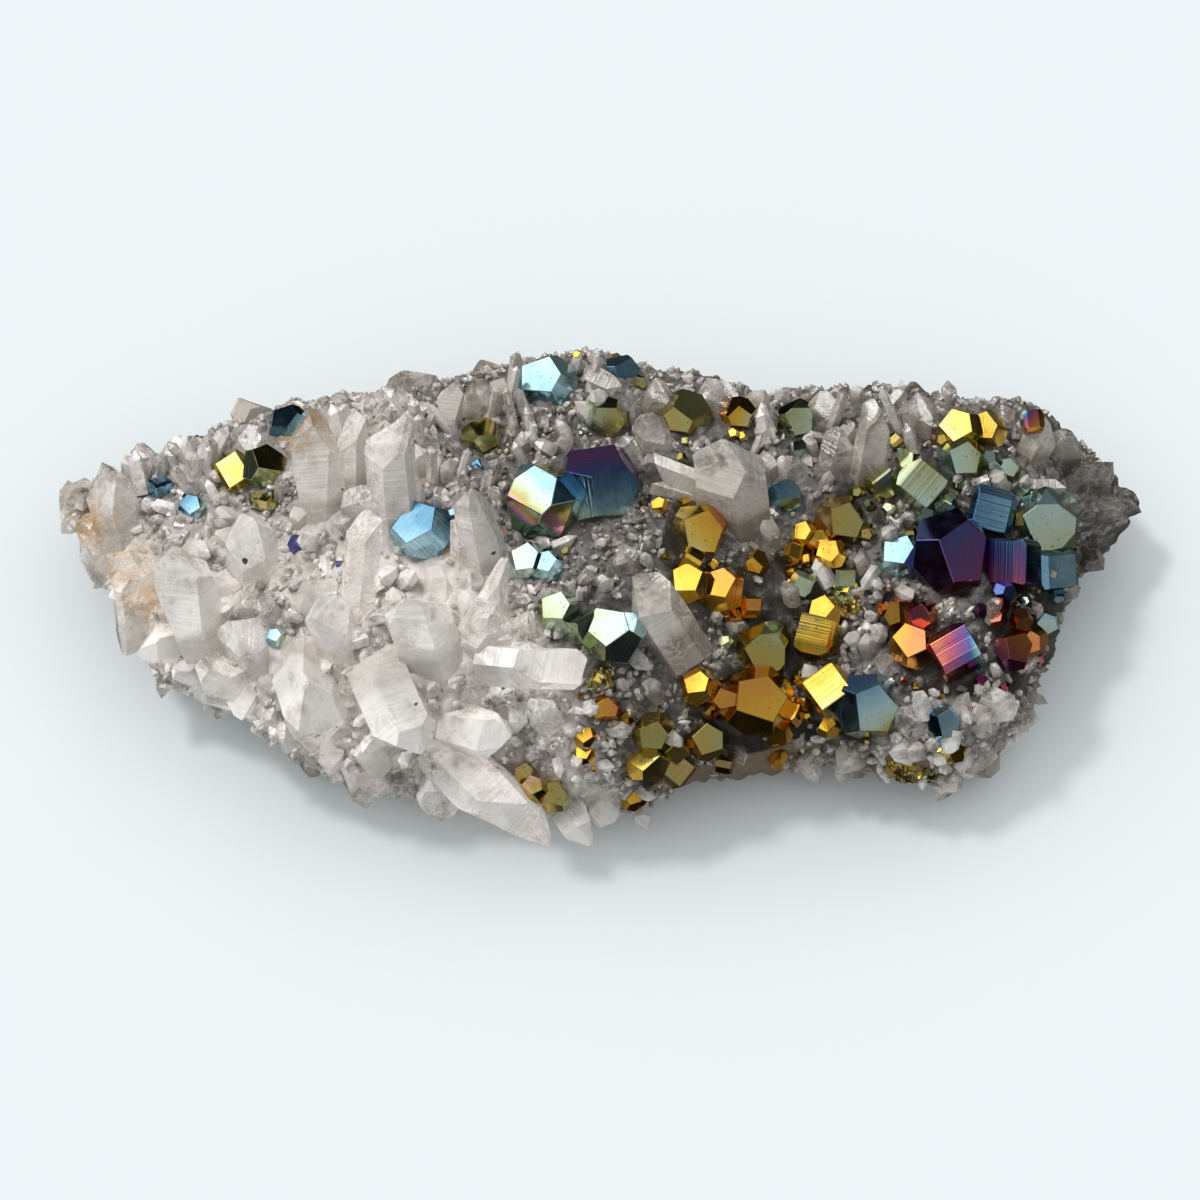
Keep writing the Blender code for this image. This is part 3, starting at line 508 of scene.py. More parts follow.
def quartz_crystal(length, width, chance, facet=FACET_EDGE, kept=1.0):
    """A crystal along +Z with its foot at the origin, a root below it, chipped corners and uneven faces."""
    root = ROOT_SHARE * width
    planes = [(Vector((0, 0, -1)), root)]
    turn = chance.uniform(0, 60)
    for side in range(6):
        angle = math.radians(60 * side + turn)
        outward = Vector((math.cos(angle), math.sin(angle), 0))
        planes.append((outward, width / 2 * chance.uniform(1 - PRISM_UNEVENNESS, 1)))
        end_face = outward * math.sin(END_FACE_ANGLE) + Vector((0, 0, math.cos(END_FACE_ANGLE)))
        drop = width * (chance.uniform(0, END_UNEVENNESS) - side % 2 * LARGER_END_FACES)
        planes.append((end_face, (length - drop) * math.cos(END_FACE_ANGLE)))
    for _ in range(BREAKS):
        angle = chance.uniform(0, math.tau)
        high = chance.uniform(*BREAK_HEIGHT)
        normal = Vector((math.cos(angle), math.sin(angle), chance.uniform(*BREAK_RISE))).normalized()
        half = width / 2
        corner = Vector((math.cos(angle) * half, math.sin(angle) * half, high * (length - half)))
        planes.append((normal, corner.dot(normal) - width * chance.uniform(*BREAK_DEPTH)))
    slant = Vector((chance.uniform(*END_SLANT), chance.uniform(*END_SLANT), 1)).normalized()
    planes.append((slant, length * kept * slant.z))
    shape = cleaved(length + root + width, planes)
    bmesh.ops.triangulate(shape, faces=shape.faces)
    longest = max(facet, width / FACETS_ACROSS)
    for _ in range(MOST_SPLITS):
        long_edges = [edge for edge in shape.edges if edge.calc_length() > longest]
        if not long_edges:
            break
        bmesh.ops.subdivide_edges(shape, edges=long_edges, cuts=1, use_grid_fill=True)
        bmesh.ops.triangulate(shape, faces=shape.faces)
    shape.normal_update()
    noise.seed_set(LUMP_SEED)
    offset = Vector((chance.random(), chance.random(), chance.random()))
    moves = []
    for vertex in shape.verts:
        wave = noise.noise(vertex.co * WAVES[1] + offset) * WAVES[0] * width
        frost = noise.noise(vertex.co * FROST[1] + offset) * FROST[0]
        moves.append(vertex.normal * (wave + frost))
    for vertex, move in zip(shape.verts, moves):
        vertex.co += move
    return shape


class Cluster:
    """Many crystals in one mesh, with values for the finish at each point."""

    def __init__(self, *values):
        self.points, self.faces = [], []
        self.values = {name: [] for name in values}

    def add(self, points, faces, **values):
        start = len(self.points)
        self.points.extend(Vector((point.x, point.y, max(0.0, point.z))) for point in points)
        self.faces.extend(tuple(start + corner for corner in face) for face in faces)
        for name, value in values.items():
            self.values[name].extend(value if isinstance(value, list) else [value] * len(points))

    def add_shape(self, shape, matrix, **values):
        shape.verts.index_update()
        heights = [vertex.co.z for vertex in shape.verts]
        points = [matrix @ vertex.co for vertex in shape.verts]
        faces = [[vertex.index for vertex in face.verts] for face in shape.faces]
        shape.free()
        self.add(points, faces, along=heights, **values)

    def mesh(self, name):
        mesh = bpy.data.meshes.new(name)
        mesh.from_pydata(self.points, [], self.faces)
        for label, numbers in self.values.items():
            attribute = mesh.attributes.new(label, "FLOAT", "POINT")
            attribute.data.foreach_set("value", np.array(numbers, np.float32))
        mesh.shade_smooth()
        mesh.set_sharp_from_angle(angle=SHARP_ANGLE)
        return mesh


def standing(foot, axis):
    """The place of a crystal that stands on its foot along an axis."""
    return Matrix.Translation(foot) @ axis.to_track_quat("Z", "Y").to_matrix().to_4x4()


SET_BACK_STEP, SET_BACK_STEPS = 0.0004, 8
MAY_HIDE, TESTED_DEPTH, TESTED_POINTS = 0.015, 0.008, 4


def set_back(shape, matrix):
    """The crystal's place, moved away from the viewer until it hides next to nothing of the pyrites."""
    points = [vertex.co for vertex in shape.verts][::TESTED_POINTS]
    for _ in range(SET_BACK_STEPS):
        hiding = sum(cover_over_pyrite(matrix @ point, TESTED_DEPTH) is not None for point in points)
        if hiding <= MAY_HIDE * len(points):
            break
        matrix = Matrix.Translation(-TO_VIEWER * SET_BACK_STEP) @ matrix
    return matrix


MILKY_CLEARNESS, GREY_CLEARNESS, FROSTED_CLEARNESS = (0.10, 0.65), (0.15, 0.60), 0.15
TIP_CLEARING = 25.0
coarse_matrix = bmesh.new()
coarse_matrix.from_mesh(frame["nodes"]["quartz_matrix"].data)
matrix_surface = BVHTree.FromBMesh(coarse_matrix)
coarse_matrix.free()
large = Cluster("along", "clear", "milk")
chance = random.Random("large quartz")
for number, quartz in enumerate(QUARTZ):
    foot = seat_of(lump_surface, *quartz.foot)
    across = (quartz.tip[0] - quartz.foot[0]) * PIXEL
    up = (quartz.foot[1] - quartz.tip[1]) * PIXEL
    lean = math.radians(quartz.lean)
    seen = ACROSS * across + UPWARD * up
    axis = seen.normalized() * math.cos(lean) + TO_VIEWER * math.sin(lean)
    length, width = seen.length / math.cos(lean), quartz.width * PIXEL
    kept = BROKEN_ENDS.get(quartz.foot, 1.0)
    shape = quartz_crystal(length, width, random.Random(number), FACET_EDGE, kept)
    matrix = set_back(shape, standing(foot, axis))
    milky = milkiness(foot) - dark_end(foot)
    low, high = (part_way(ends, milky) for ends in zip(GREY_CLEARNESS, MILKY_CLEARNESS))
    clear = chance.uniform(low, high)
    large.add_shape(shape, matrix, clear=FROSTED_CLEARNESS if quartz.foot in FROSTED else clear, milk=milky)

BACK_CRYSTALS, BACK_REACH, BACK_HEIGHT = 22, (120, 1080), (0.25, 0.95)
BACK_WIDTH, BACK_LENGTH, BACK_CLEARNESS = (0.0026, 0.0062), (0.5, 1.0), 0.2
BACK_SPREAD, BACK_RISE = (-0.6, 0.6), (-0.2, 0.3)
chance = random.Random("back of the specimen")
for _ in range(BACK_CRYSTALS):
    across, _ = in_picture(chance.uniform(*BACK_REACH), MIDDLE_PIXEL[1])
    start = Vector((across, SIGHT_DISTANCE, WAIST_HEIGHT * chance.uniform(*BACK_HEIGHT)))
    foot, outward, _, _ = lump_surface.ray_cast(start, Vector((0, -1, 0)))
    width = chance.uniform(*BACK_WIDTH)
    axis = (outward + Vector((chance.uniform(*BACK_SPREAD), 0, chance.uniform(*BACK_RISE)))).normalized()
    length = width * chance.uniform(*BACK_LENGTH)
    shape = quartz_crystal(length, width, random.Random(chance.random()))
    large.add_shape(shape, standing(foot, axis), clear=BACK_CLEARNESS, milk=milkiness(foot))

GREY_MILK, WHITE_MILK, SMOKE = (0.60, 0.555, 0.49), (0.95, 0.90, 0.855), (0.13, 0.12, 0.11)
SHADED_MILK, ROOT_SHADE_COLOUR = (0.20, 0.175, 0.15), (0.38, 0.33, 0.27)
CRACK_WHITE, GLASS_CLEAR = (0.95, 0.93, 0.90), (0.96, 0.94, 0.92)
SHADED_PATCHES, INCLUSIONS = Spots(130, 2, 0.45, 0.62), Spots(620, 1, 0.775, 0.80)
BANDS_PER_METRE, ROOT_SHADE_HEIGHT, CRACK_WIDTH = 2600.0, 0.0016, 0.035
quartz_finish, shade = new_finish("quartz")
place = shade.node("TexCoord", output="Object")
clear = shade.carried("clear")
along = shade.carried("along")
milk = shade.carried("milk")
veils = shade.speckle(place, 230, 4, 0.6)
clouds = shade.speckle(place, 1000, 2, 0.6)
growth = shade.bands(along * BANDS_PER_METRE)
milk_colour = shade.mixed(milk, GREY_MILK, WHITE_MILK)
smoky = (0.0 - milk).ranged(0.0, 0.6, 0.0, 0.75)
milk_colour = shade.mixed(smoky, milk_colour, SMOKE)
crack_field = shade.speckle(place, 260, 3, 0.6)
cracks = shade.maths("ABSOLUTE", crack_field - 0.5).ranged(0.0, CRACK_WIDTH, 1.0, 0.0)
shaded = shade.spots(place, SHADED_PATCHES) * 0.4
milk_colour = shade.mixed(shaded, milk_colour, shade.mixed(0.6, milk_colour, SHADED_MILK))
# Painted shade: each crystal's colour darkens towards its foot, where it meets the rock.
root_shade = along.ranged(0.0, ROOT_SHADE_HEIGHT, 0.8, 0.0) * (1.0 - milk * 0.55)
milk_colour = shade.mixed(root_shade, milk_colour, ROOT_SHADE_COLOUR, "MULTIPLY")
milk_colour = shade.mixed(stain_on(shade, place, matrix_surface) * 0.8, milk_colour, OCHRE)
milk_colour = shade.mixed(shade.spots(place, INCLUSIONS), milk_colour, SPECK_BLACK)
milk_colour = shade.mixed(cracks * 0.12, milk_colour, CRACK_WHITE)
waves = growth + veils * 2.0 + clouds
relief = shade.node("Bump", {}, {"Strength": 0.35, "Distance": 0.0002, "Height": waves})
cloudy_quartz = shade.node("BsdfPrincipled", {}, {
    "Base Color": milk_colour, "Roughness": clouds.ranged(0.3, 0.7, 0.04, 0.20),
    "IOR": QUARTZ_IOR, "Normal": relief,
})
clear_quartz = shade.node("BsdfPrincipled", {}, {
    "Base Color": GLASS_CLEAR, "Roughness": 0.04, "IOR": QUARTZ_IOR,
    "Transmission Weight": 1.0, "Normal": relief,
})
cloudiness = (veils - 0.5) * 2.6 + (clouds - 0.5) * 0.7 + cracks * 0.3
clearness = (clear + along * TIP_CLEARING - cloudiness).ranged(0.0, 1.15, 0.0, 0.94)
surface = shade.node("MixShader", {}, {0: clearness, 1: cloudy_quartz, 2: clear_quartz})
shade.node("OutputMaterial", {}, {"Surface": surface})
piece = shown("large_quartz_crystals", large.mesh("large_quartz_crystals"), quartz_finish)
piece.visible_shadow = False

# Small quartz crystals
# Blocky crystals, thin standing prisms and a crust of short points, from sugar-fine to a few millimetres.
# They grew last, straight on the lump, and cover it between the large crystals.
Coat = namedtuple("Coat", "name number seed length width tilt side fine")
BURIED, LOWEST_FOOT = 0.0006, 0.0012
CLEARANCE, BEFORE_PYRITE = 0.00045, 0.010
BARE_SHARE = 0.95
lump_faces = sorted((sorted(face.vertices), face.area, tuple(face.normal)) for face in rock.data.polygons)


def spots_on_lump(number, seed):
    """Random places on the lump, even over its area, with the way out of it there."""
    dice = np.random.default_rng(seed)
    areas = np.array([area for _, area, _ in lump_faces])
    picks = dice.choice(len(areas), number, p=areas / areas.sum())
    for pick, first, second in zip(picks, dice.random(number), dice.random(number)):
        indices, _, normal = lump_faces[pick]
        corner, left, right = (rock.data.vertices[index].co for index in indices[:3])
        if first + second > 1:
            first, second = 1 - first, 1 - second
        yield corner + (left - corner) * float(first) + (right - corner) * float(second), Vector(normal)


def hides_pyrite(foot, tip):
    """True where a crystal would touch a pyrite or stand before one as seen by the viewer."""
    _, _, _, gap = pyrite_surface.find_nearest(tip, CLEARANCE)
    if gap is not None:
        return True
    for point in (tip, (foot + tip) / 2):
        struck, _, _, _ = pyrite_surface.ray_cast(point, -TO_VIEWER, BEFORE_PYRITE)
        if struck is not None:
            return True
    return False


large_surface = BVHTree.FromPolygons(large.points, large.faces)
UNDER_LARGE, BEFORE_LARGE = 0.012, 0.0035


def on_large_crystal(foot, tip):
    """True where a crystal would grow through a large one, or stand right before one."""
    over, _, _, _ = large_surface.ray_cast(foot, TO_VIEWER, UNDER_LARGE)
    behind, _, _, _ = large_surface.ray_cast(tip, -TO_VIEWER, BEFORE_LARGE)
    return over is not None or behind is not None


def leaning(outward, tilt, chance):
    return (outward + Vector([chance.gauss(0, tilt) for _ in range(3)])).normalized()


CLEAR_HEIGHT, CLEAR_REACH = 0.5, 0.6
TESTED_HEIGHTS = ((0.3, 1.0), (1.0, 0.4))
TESTED_SIDES = ((0, 0), (0.5, 0), (-0.5, 0), (0, 0.5), (0, -0.5), (0.25, 0.25), (-0.25, -0.25))


def stands_clear(foot, axis, length, width):
    """True where a wide crystal touches no pyrite and stands before none."""
    middle = foot + axis * (length * CLEAR_HEIGHT)
    _, _, _, gap = pyrite_surface.find_nearest(middle, width * CLEAR_REACH)
    if gap is not None:
        return False
    first = axis.orthogonal().normalized()
    second = axis.cross(first)
    for high, taper in TESTED_HEIGHTS:
        for side, other in TESTED_SIDES:
            place = foot + axis * (length * high) + (first * side + second * other) * (width * taper)
            if hides_pyrite(foot, place):
                return False
    return True


BLOCKY_TRIES, BLOCKY_SEED = 6000, 31
BLOCKY_WIDTH, BLOCKY_SKEW = (0.0014, 0.0066), 2.1
BLOCKY_LENGTH, BLOCKY_TILT, BLOCKY_LEAST_LEAN = (0.35, 1.05), 0.55, 0.35
BLOCKY_CHANCE, BLOCKY_MILKINESS = (0.10, 0.62), (0.1, 0.5)
EDGE_ON, EDGE_LENGTH, EDGE_WIDTH = 0.5, 0.5, 0.8
BLOCKY_FACET = 0.00085
blocky = Cluster("along", "clear", "milk")
chance = random.Random("blocky quartz")
for foot, outward in spots_on_lump(BLOCKY_TRIES, BLOCKY_SEED):
    milky = milkiness(foot)
    keep = (BLOCKY_CHANCE[0] + BLOCKY_CHANCE[1] * milky) * (1 - dark_rock_and_gap_shade(foot))
    width = part_way(BLOCKY_WIDTH, chance.random() ** BLOCKY_SKEW)
    length = width * chance.uniform(*BLOCKY_LENGTH)
    if abs(outward.dot(TO_VIEWER)) < EDGE_ON:
        length, width = length * EDGE_LENGTH, width * EDGE_WIDTH
        keep *= smooth_share(milky, *BLOCKY_MILKINESS)
    axis = leaning(outward, BLOCKY_TILT, chance)
    if foot.z < width or chance.random() > keep or axis.dot(outward) < BLOCKY_LEAST_LEAN:
        continue
    if on_large_crystal(foot, foot + axis * length) or not stands_clear(foot, axis, length, width):
        continue
    shape = quartz_crystal(length, width, random.Random(chance.random()), BLOCKY_FACET)
    clearness = MILKY_CLEARNESS if chance.random() < milky else GREY_CLEARNESS
    milky -= dark_end(foot)
    blocky.add_shape(shape, standing(foot, axis), clear=chance.uniform(*clearness), milk=milky)
piece = shown("blocky_quartz_crystals", blocky.mesh("blocky_quartz_crystals"), quartz_finish)
piece.visible_shadow = False

POINT_TAPER, POINT_EVENNESS, POINT_SHOULDER, POINT_OFFSET = (0.82, 1.0), (0.82, 1.12), (0.42, 0.66), 0.12
SHOULDER_SHARE = 0.8


def small_point(foot, axis, length, width, chance):
    """One small crystal: six sides of uneven width and a six-faced point, with each point's height."""
    turn = axis.to_track_quat("Z", "Y").to_matrix()
    start = chance.uniform(0, math.tau)
    taper = chance.uniform(*POINT_TAPER)
    lower, upper = [], []
    for side in range(6):
        angle = start + math.radians(60) * side
        reach = width / 2 * chance.uniform(*POINT_EVENNESS)
        flat = Vector((math.cos(angle) * reach, math.sin(angle) * reach, 0))
        lower.append(foot + turn @ (flat + Vector((0, 0, -BURIED))))
        shoulder = length - width * chance.uniform(*POINT_SHOULDER)
        upper.append(foot + turn @ (flat * taper + Vector((0, 0, shoulder))))
    off_x, off_y = (chance.uniform(-POINT_OFFSET, POINT_OFFSET) * width for _ in range(2))
    points = lower + upper + [foot + turn @ Vector((off_x, off_y, length))]
    faces = [(side, (side + 1) % 6, (side + 1) % 6 + 6, side + 6) for side in range(6)]
    faces.extend((side + 6, (side + 1) % 6 + 6, 12) for side in range(6))
    return points, faces, [0.0] * 6 + [length * SHOULDER_SHARE] * 6 + [length]


LOWEST_FACING, COAT_LEAST_LEAN, COAT_LENGTH_SHARE = -0.4, 0.25, (0.6, 1.0)
COAT_EDGE_ON, EDGE_POINT_LENGTH, WIDEST_ON_EDGE = 0.45, 0.8, 0.0011


def coat_of_points(coat):
    cluster = Cluster("along", "clear", "milk")
    chance = random.Random(coat.seed)
    for foot, outward in spots_on_lump(coat.number, coat.seed):
        milky = milkiness(foot)
        on_side = milky if coat.side == "milky" else (1 - milky) * (1 - BARE_SHARE * dark_rock_and_gap_shade(foot))
        if foot.z < LOWEST_FOOT or outward.z < LOWEST_FACING or chance.random() > on_side:
            continue
        size = chance.random() ** coat.fine
        width = part_way(coat.width, size)
        longer = (coat.length[1] - coat.length[0]) * size
        length = coat.length[0] + longer * chance.uniform(*COAT_LENGTH_SHARE)
        axis = leaning(outward, coat.tilt, chance)
        if abs(outward.dot(TO_VIEWER)) < COAT_EDGE_ON:
            length = width * EDGE_POINT_LENGTH
            if width > WIDEST_ON_EDGE:
                continue
        tip = foot + axis * length
        if axis.dot(outward) < COAT_LEAST_LEAN or on_large_crystal(foot, tip) or hides_pyrite(foot, tip):
            continue
        points, faces, heights = small_point(foot, axis, length, width, chance)
        clearness = MILKY_CLEARNESS if coat.side == "milky" else GREY_CLEARNESS
        whiter = min(1.0, milky + chance.random() ** 2)
        whiter = whiter if dark_end(foot) == 0 else -dark_end(foot) * chance.random()
        cluster.add(points, faces, along=heights, clear=chance.uniform(*clearness), milk=whiter)
    return cluster.mesh(coat.name)


for coat in (
    Coat("milky_quartz_points", 4200, 11, (0.0008, 0.0040), (0.0008, 0.0026), 0.60, "milky", 2.0),
    Coat("milky_quartz_druse", 10000, 12, (0.0004, 0.0014), (0.0005, 0.0012), 0.60, "milky", 1.3),
    Coat("grey_quartz_points", 4600, 13, (0.0008, 0.0038), (0.0006, 0.0024), 0.70, "grey", 2.2),
    Coat("grey_quartz_sugar", 17000, 14, (0.0004, 0.0012), (0.0004, 0.0010), 0.65, "grey", 1.2),
):
    shown(coat.name, coat_of_points(coat), quartz_finish)

Zone = namedtuple("Zone", "pixel_x pixel_y wide high")
PRISM_ZONES = [Zone(*row) for row in (
    (520, 415, 95, 42), (640, 430, 50, 40), (780, 430, 130, 36), (400, 470, 60, 50), (210, 480, 80, 30),
)]
PRISMS_PER_ZONE, PRISM_SEED = 110, 41
PRISM_WIDTH, PRISM_LENGTH = (0.0009, 0.0020), (0.0018, 0.0052)
PRISM_MIDDLE, BELOW_LEFT_EDGE, BELOW_RIGHT_EDGE = 600, 16, 30
PRISM_SIDEWAYS, PRISM_FORWARD = (-0.1, 0.35), (0.35, 0.3)
PRISM_MILK = (0.6, 0.35)
prisms = Cluster("along", "clear", "milk")
chance = random.Random(PRISM_SEED)
for zone in PRISM_ZONES:
    for _ in range(PRISMS_PER_ZONE):
        pixel_x = chance.gauss(zone.pixel_x, zone.wide / 2)
        pixel_y = chance.gauss(zone.pixel_y, zone.high / 2)
        below_edge = BELOW_LEFT_EDGE if pixel_x < PRISM_MIDDLE else BELOW_RIGHT_EDGE
        if pixel_y < between(OUTLINE, pixel_x, "upper") + below_edge:
            continue
        foot = seat_of(lump_surface, pixel_x, pixel_y)
        axis = TO_VIEWER * PRISM_FORWARD[0] + UPWARD + ACROSS * chance.gauss(*PRISM_SIDEWAYS)
        axis = (axis + TO_VIEWER * chance.gauss(0, PRISM_FORWARD[1])).normalized()
        length = chance.uniform(*PRISM_LENGTH)
        width = chance.uniform(*PRISM_WIDTH)
        if on_large_crystal(foot, foot + axis * length) or not stands_clear(foot, axis, length, width):
            continue
        points, faces, heights = small_point(foot, axis, length, width, chance)
        whiter = milkiness(foot) * PRISM_MILK[0] + PRISM_MILK[1]
        prisms.add(points, faces, along=heights, clear=chance.uniform(*MILKY_CLEARNESS), milk=whiter)
shown("standing_quartz_prisms", prisms.mesh("standing_quartz_prisms"), quartz_finish)

# Pyrite crystals
# Pyritohedra and cubes of iron disulphide, seated in the quartz as they grew. A film of tarnish of uneven
# thickness colours each one, from brass through red, violet and blue to green as it thickens.
Pyrite = namedtuple("Pyrite", "pixel_x pixel_y width right up spin habit film drift")
PYRITES = {
    "pyrite_dark_1": [(283, 412, 40, -20, 40, 10, "sharp", 0.63, 0.04)],
    "pyrite_dark_2": [(161, 490, 27, 30, -20, 20, "cubic", 0.62, 0.04)],
    "pyrite_dark_3": [(194, 508, 25, -18, 24, 50, "sharp", 0.66, 0.08)],
    "pyrite_olive_1": [
        (238, 474, 46, -17, 20, 35, "cubic", 0.06, 0.04), (263, 468, 44, 26, 34, 80, "sharp", 0.90, 0.05),
    ],
    "pyrite_blue_1": [(299, 545, 18, 20, 0, 0, "sharp", 0.50, 0.04)],
    "pyrite_dark_4": [(278, 637, 20, -16, 24, 70, "sharp", 0.76, 0.12)],
    "pyrite_blue_2": [(421, 531, 60, -17, 25, -30, "sharp", 0.64, 0.05)],
    "pyrite_olive_2": [(483, 438, 40, 8, 52, 15, "sharp", 0.92, 0.05)],
    "pyrite_blue_3": [(478, 467, 15, -17, 25, 30, "cubic", 0.62, 0.04)],
    "pyrite_blue_4": [(545, 384, 58, -17, 25, 8, "sharp", 0.70, 0.03)],
    "pyrite_blue_5": [(619, 375, 40, 35, 10, 10, "sharp", 0.63, 0.03)],
    "pyrite_olive_3": [(604, 420, 42, 12, -14, 60, "sharp", 0.88, 0.06)],
    "pyrite_olive_4": [(685, 417, 52, 20, 42, 40, "sharp", 0.93, 0.05)],
    "pyrite_brown_1": [(735, 415, 38, -30, 46, 0, "sharp", 0.13, 0.10)],
    "pyrite_olive_5": [(797, 422, 42, 10, 5, 25, "blunt", 0.86, 0.07)],
    "pyrite_rainbow_1": [
        (543, 502, 78, -17, 25, 62, "blunt", 0.81, 0.32), (600, 486, 84, 28, -12, 15, "sharp", 0.60, 0.16),
    ],
    "pyrite_pale_1": [
        (528, 562, 36, -17, 25, 20, "sharp", 0.77, 0.03), (549, 566, 34, -17, 25, 75, "sharp", 0.73, 0.03),
    ],
    "pyrite_green_1": [
        (558, 612, 42, -17, 26, 10, "sharp", 0.82, 0.04), (583, 630, 40, 40, 0, 30, "cubic", 0.84, 0.04),
        (612, 636, 60, -17, 25, 52, "sharp", 0.80, 0.05),
    ],
    "pyrite_gold_1": [(700, 530, 50, 8, -10, 10, "sharp", 0.10, 0.10)],
    "pyrite_gold_2": [
        (691, 585, 42, -17, 25, 90, "sharp", 0.10, 0.03), (722, 590, 44, -14, 23, 80, "sharp", 0.16, 0.04),
    ],
    "pyrite_gold_3": [(757, 563, 24, 20, 30, 40, "sharp", 0.13, 0.05)],
    "pyrite_dark_5": [(783, 497, 36, 15, 35, 15, "blunt", 0.66, 0.06)],
    "pyrite_olive_6": [
        (841, 522, 50, 8, 2, 5, "sharp", 0.94, 0.04), (803, 534, 26, -17, 25, 5, "sharp", 0.10, 0.04),
        (818, 543, 26, -10, 20, 65, "sharp", 0.12, 0.04),
    ],
    "pyrite_striped_1": [
        (881, 484, 38, 25, -20, 40, "cubic", 0.90, 0.06), (918, 486, 54, 2, 8, -40, "cubic", 0.84, 0.06),
    ],
    "pyrite_green_2": [
        (961, 461, 42, 6, 6, 15, "sharp", 0.82, 0.05), (960, 432, 42, -17, 25, 45, "sharp", 0.05, 0.04),
        (987, 432, 40, -12, 20, 10, "sharp", 0.09, 0.05),
    ],
    "pyrite_green_3": [(1007, 470, 28, 5, 10, 70, "sharp", 0.80, 0.06)],
    "pyrite_violet_1": [
        (950, 553, 80, 22, 2, 20, "sharp", 0.48, 0.08), (901, 557, 42, -17, 25, 5, "sharp", 0.70, 0.03),
        (988, 514, 56, 8, 10, 75, "cubic", 0.60, 0.06), (1046, 524, 74, 10, -4, 25, "blunt", 0.80, 0.06),
        (1010, 562, 62, -24, 4, 0, "cubic", 0.50, 0.14), (1050, 568, 52, 26, -6, 5, "cubic", 0.66, 0.05),
    ],
    "pyrite_olive_7": [(843, 578, 26, 8, -4, 0, "cubic", 0.88, 0.05)],
    "pyrite_olive_8": [
        (762, 648, 54, 10, -14, 30, "blunt", 0.93, 0.06), (756, 700, 62, 2, 2, 72, "sharp", 0.15, 0.06),
    ],
    "pyrite_gold_5": [(697, 685, 38, -14, 22, 20, "sharp", 0.12, 0.08)],
    "pyrite_gold_6": [(817, 637, 48, -18, 14, 78, "cubic", 0.10, 0.05)],
    "pyrite_striped_2": [
        (830, 694, 56, -17, 25, -50, "cubic", 0.05, 0.06), (866, 706, 66, 14, -12, 10, "sharp", 0.72, 0.14),
    ],
    "pyrite_red_1": [
        (899, 613, 34, 30, 8, 0, "sharp", 0.20, 0.05), (923, 616, 30, -34, -12, 30, "cubic", 0.32, 0.05),
        (914, 646, 46, -17, 25, 40, "sharp", 0.22, 0.05), (955, 653, 60, -12, 20, -58, "cubic", 0.40, 0.22),
    ],
    "pyrite_brown_2": [(1010, 650, 40, 30, 20, 0, "sharp", 0.28, 0.10)],
    "pyrite_green_4": [(1045, 626, 26, 10, 10, 40, "sharp", 0.78, 0.08)],
    "pyrite_gold_7": [
        (607, 708, 26, 5, 0, 15, "sharp", 0.18, 0.05), (617, 725, 16, -17, 25, 0, "sharp", 0.10, 0.04),
    ],
    "pyrite_gold_8": [
        (586, 736, 22, -17, 25, 50, "sharp", 0.14, 0.05), (584, 752, 23, -10, 24, 5, "sharp", 0.11, 0.05),
    ],
    "pyrite_olive_9": [
        (653, 731, 40, 4, -16, 8, "sharp", 0.94, 0.04), (648, 762, 42, -17, 27, 60, "sharp", 0.06, 0.04),
        (672, 766, 44, 14, -4, -38, "cubic", 0.96, 0.04),
    ],
    "pyrite_olive_10": [(707, 738, 40, 4, 2, 30, "sharp", 0.94, 0.05)],
    "pyrite_olive_11": [
        (554, 796, 32, 8, 16, 0, "sharp", 0.95, 0.05), (534, 787, 26, -10, 20, 40, "sharp", 0.97, 0.05),
        (526, 772, 20, 0, 10, 20, "sharp", 0.95, 0.05),
    ],
    "pyrite_gold_9": [(632, 796, 26, 0, 8, 30, "sharp", 0.14, 0.08)],
    "pyrite_gold_10": [
        (947, 746, 34, -15, 22, 0, "sharp", 0.08, 0.06), (942, 720, 36, 20, -16, 20, "sharp", 0.68, 0.06),
    ],
    "pyrite_red_3": [(1032, 422, 28, 8, 18, 5, "cubic", 0.30, 0.20)],
}
HABITS = {"sharp": (1.50, 1.00, 1.70), "cubic": (0.86, 1.00, 1.70), "blunt": (1.02, 1.00, 1.10)}
FIVE_SIDED_FACE, CUBE_FACE = Vector((2, 1, 0)).normalized(), Vector((1, 0, 0)).normalized()
MAIN_FACE = {"sharp": FIVE_SIDED_FACE, "cubic": CUBE_FACE, "blunt": FIVE_SIDED_FACE}
PROUD_SHARE, PYRITE_WEAR = 0.30, 0.008
MAIN_FACE_DEPTH, FURTHEST_CUT, PYRITE_EVENNESS = 0.74, 3, (0.82, 1.02)


def pyrite_faces():
    """The outward normals of the cube, the five-sided form and the octahedron."""
    cube, fives, octahedron = [], [], []
    for axis in range(3):
        for sign in (-1, 1):
            square = [0, 0, 0]
            square[axis] = sign
            cube.append(Vector(square))
            for other in (-1, 1):
                five = [0, 0, 0]
                five[axis] = 2 * sign
                five[(axis + 1) % 3] = other
                fives.append(Vector(five).normalized())
    for corner in range(8):
        signs = [1 if corner >> bit & 1 else -1 for bit in range(3)]
        octahedron.append(Vector(signs).normalized())
    return cube, fives, octahedron


def pyrite_crystal(pyrite, seed, worn=True):
    chance = random.Random(seed)
    half = pyrite.width * PIXEL / 2
    planes = [(MAIN_FACE[pyrite.habit], half * MAIN_FACE_DEPTH)]
    for normals, share in zip(pyrite_faces(), HABITS[pyrite.habit]):
        for normal in normals:
            planes.append((normal, half * share * chance.uniform(*PYRITE_EVENNESS)))
    shape = cleaved(FURTHEST_CUT * half, planes)
    if worn:
        wear = PYRITE_WEAR * 2 * half
        bmesh.ops.bevel(
            shape, geom=shape.edges[:], offset=wear, offset_type="OFFSET", segments=1, affect="EDGES",
            clamp_overlap=True,
        )
    return shape


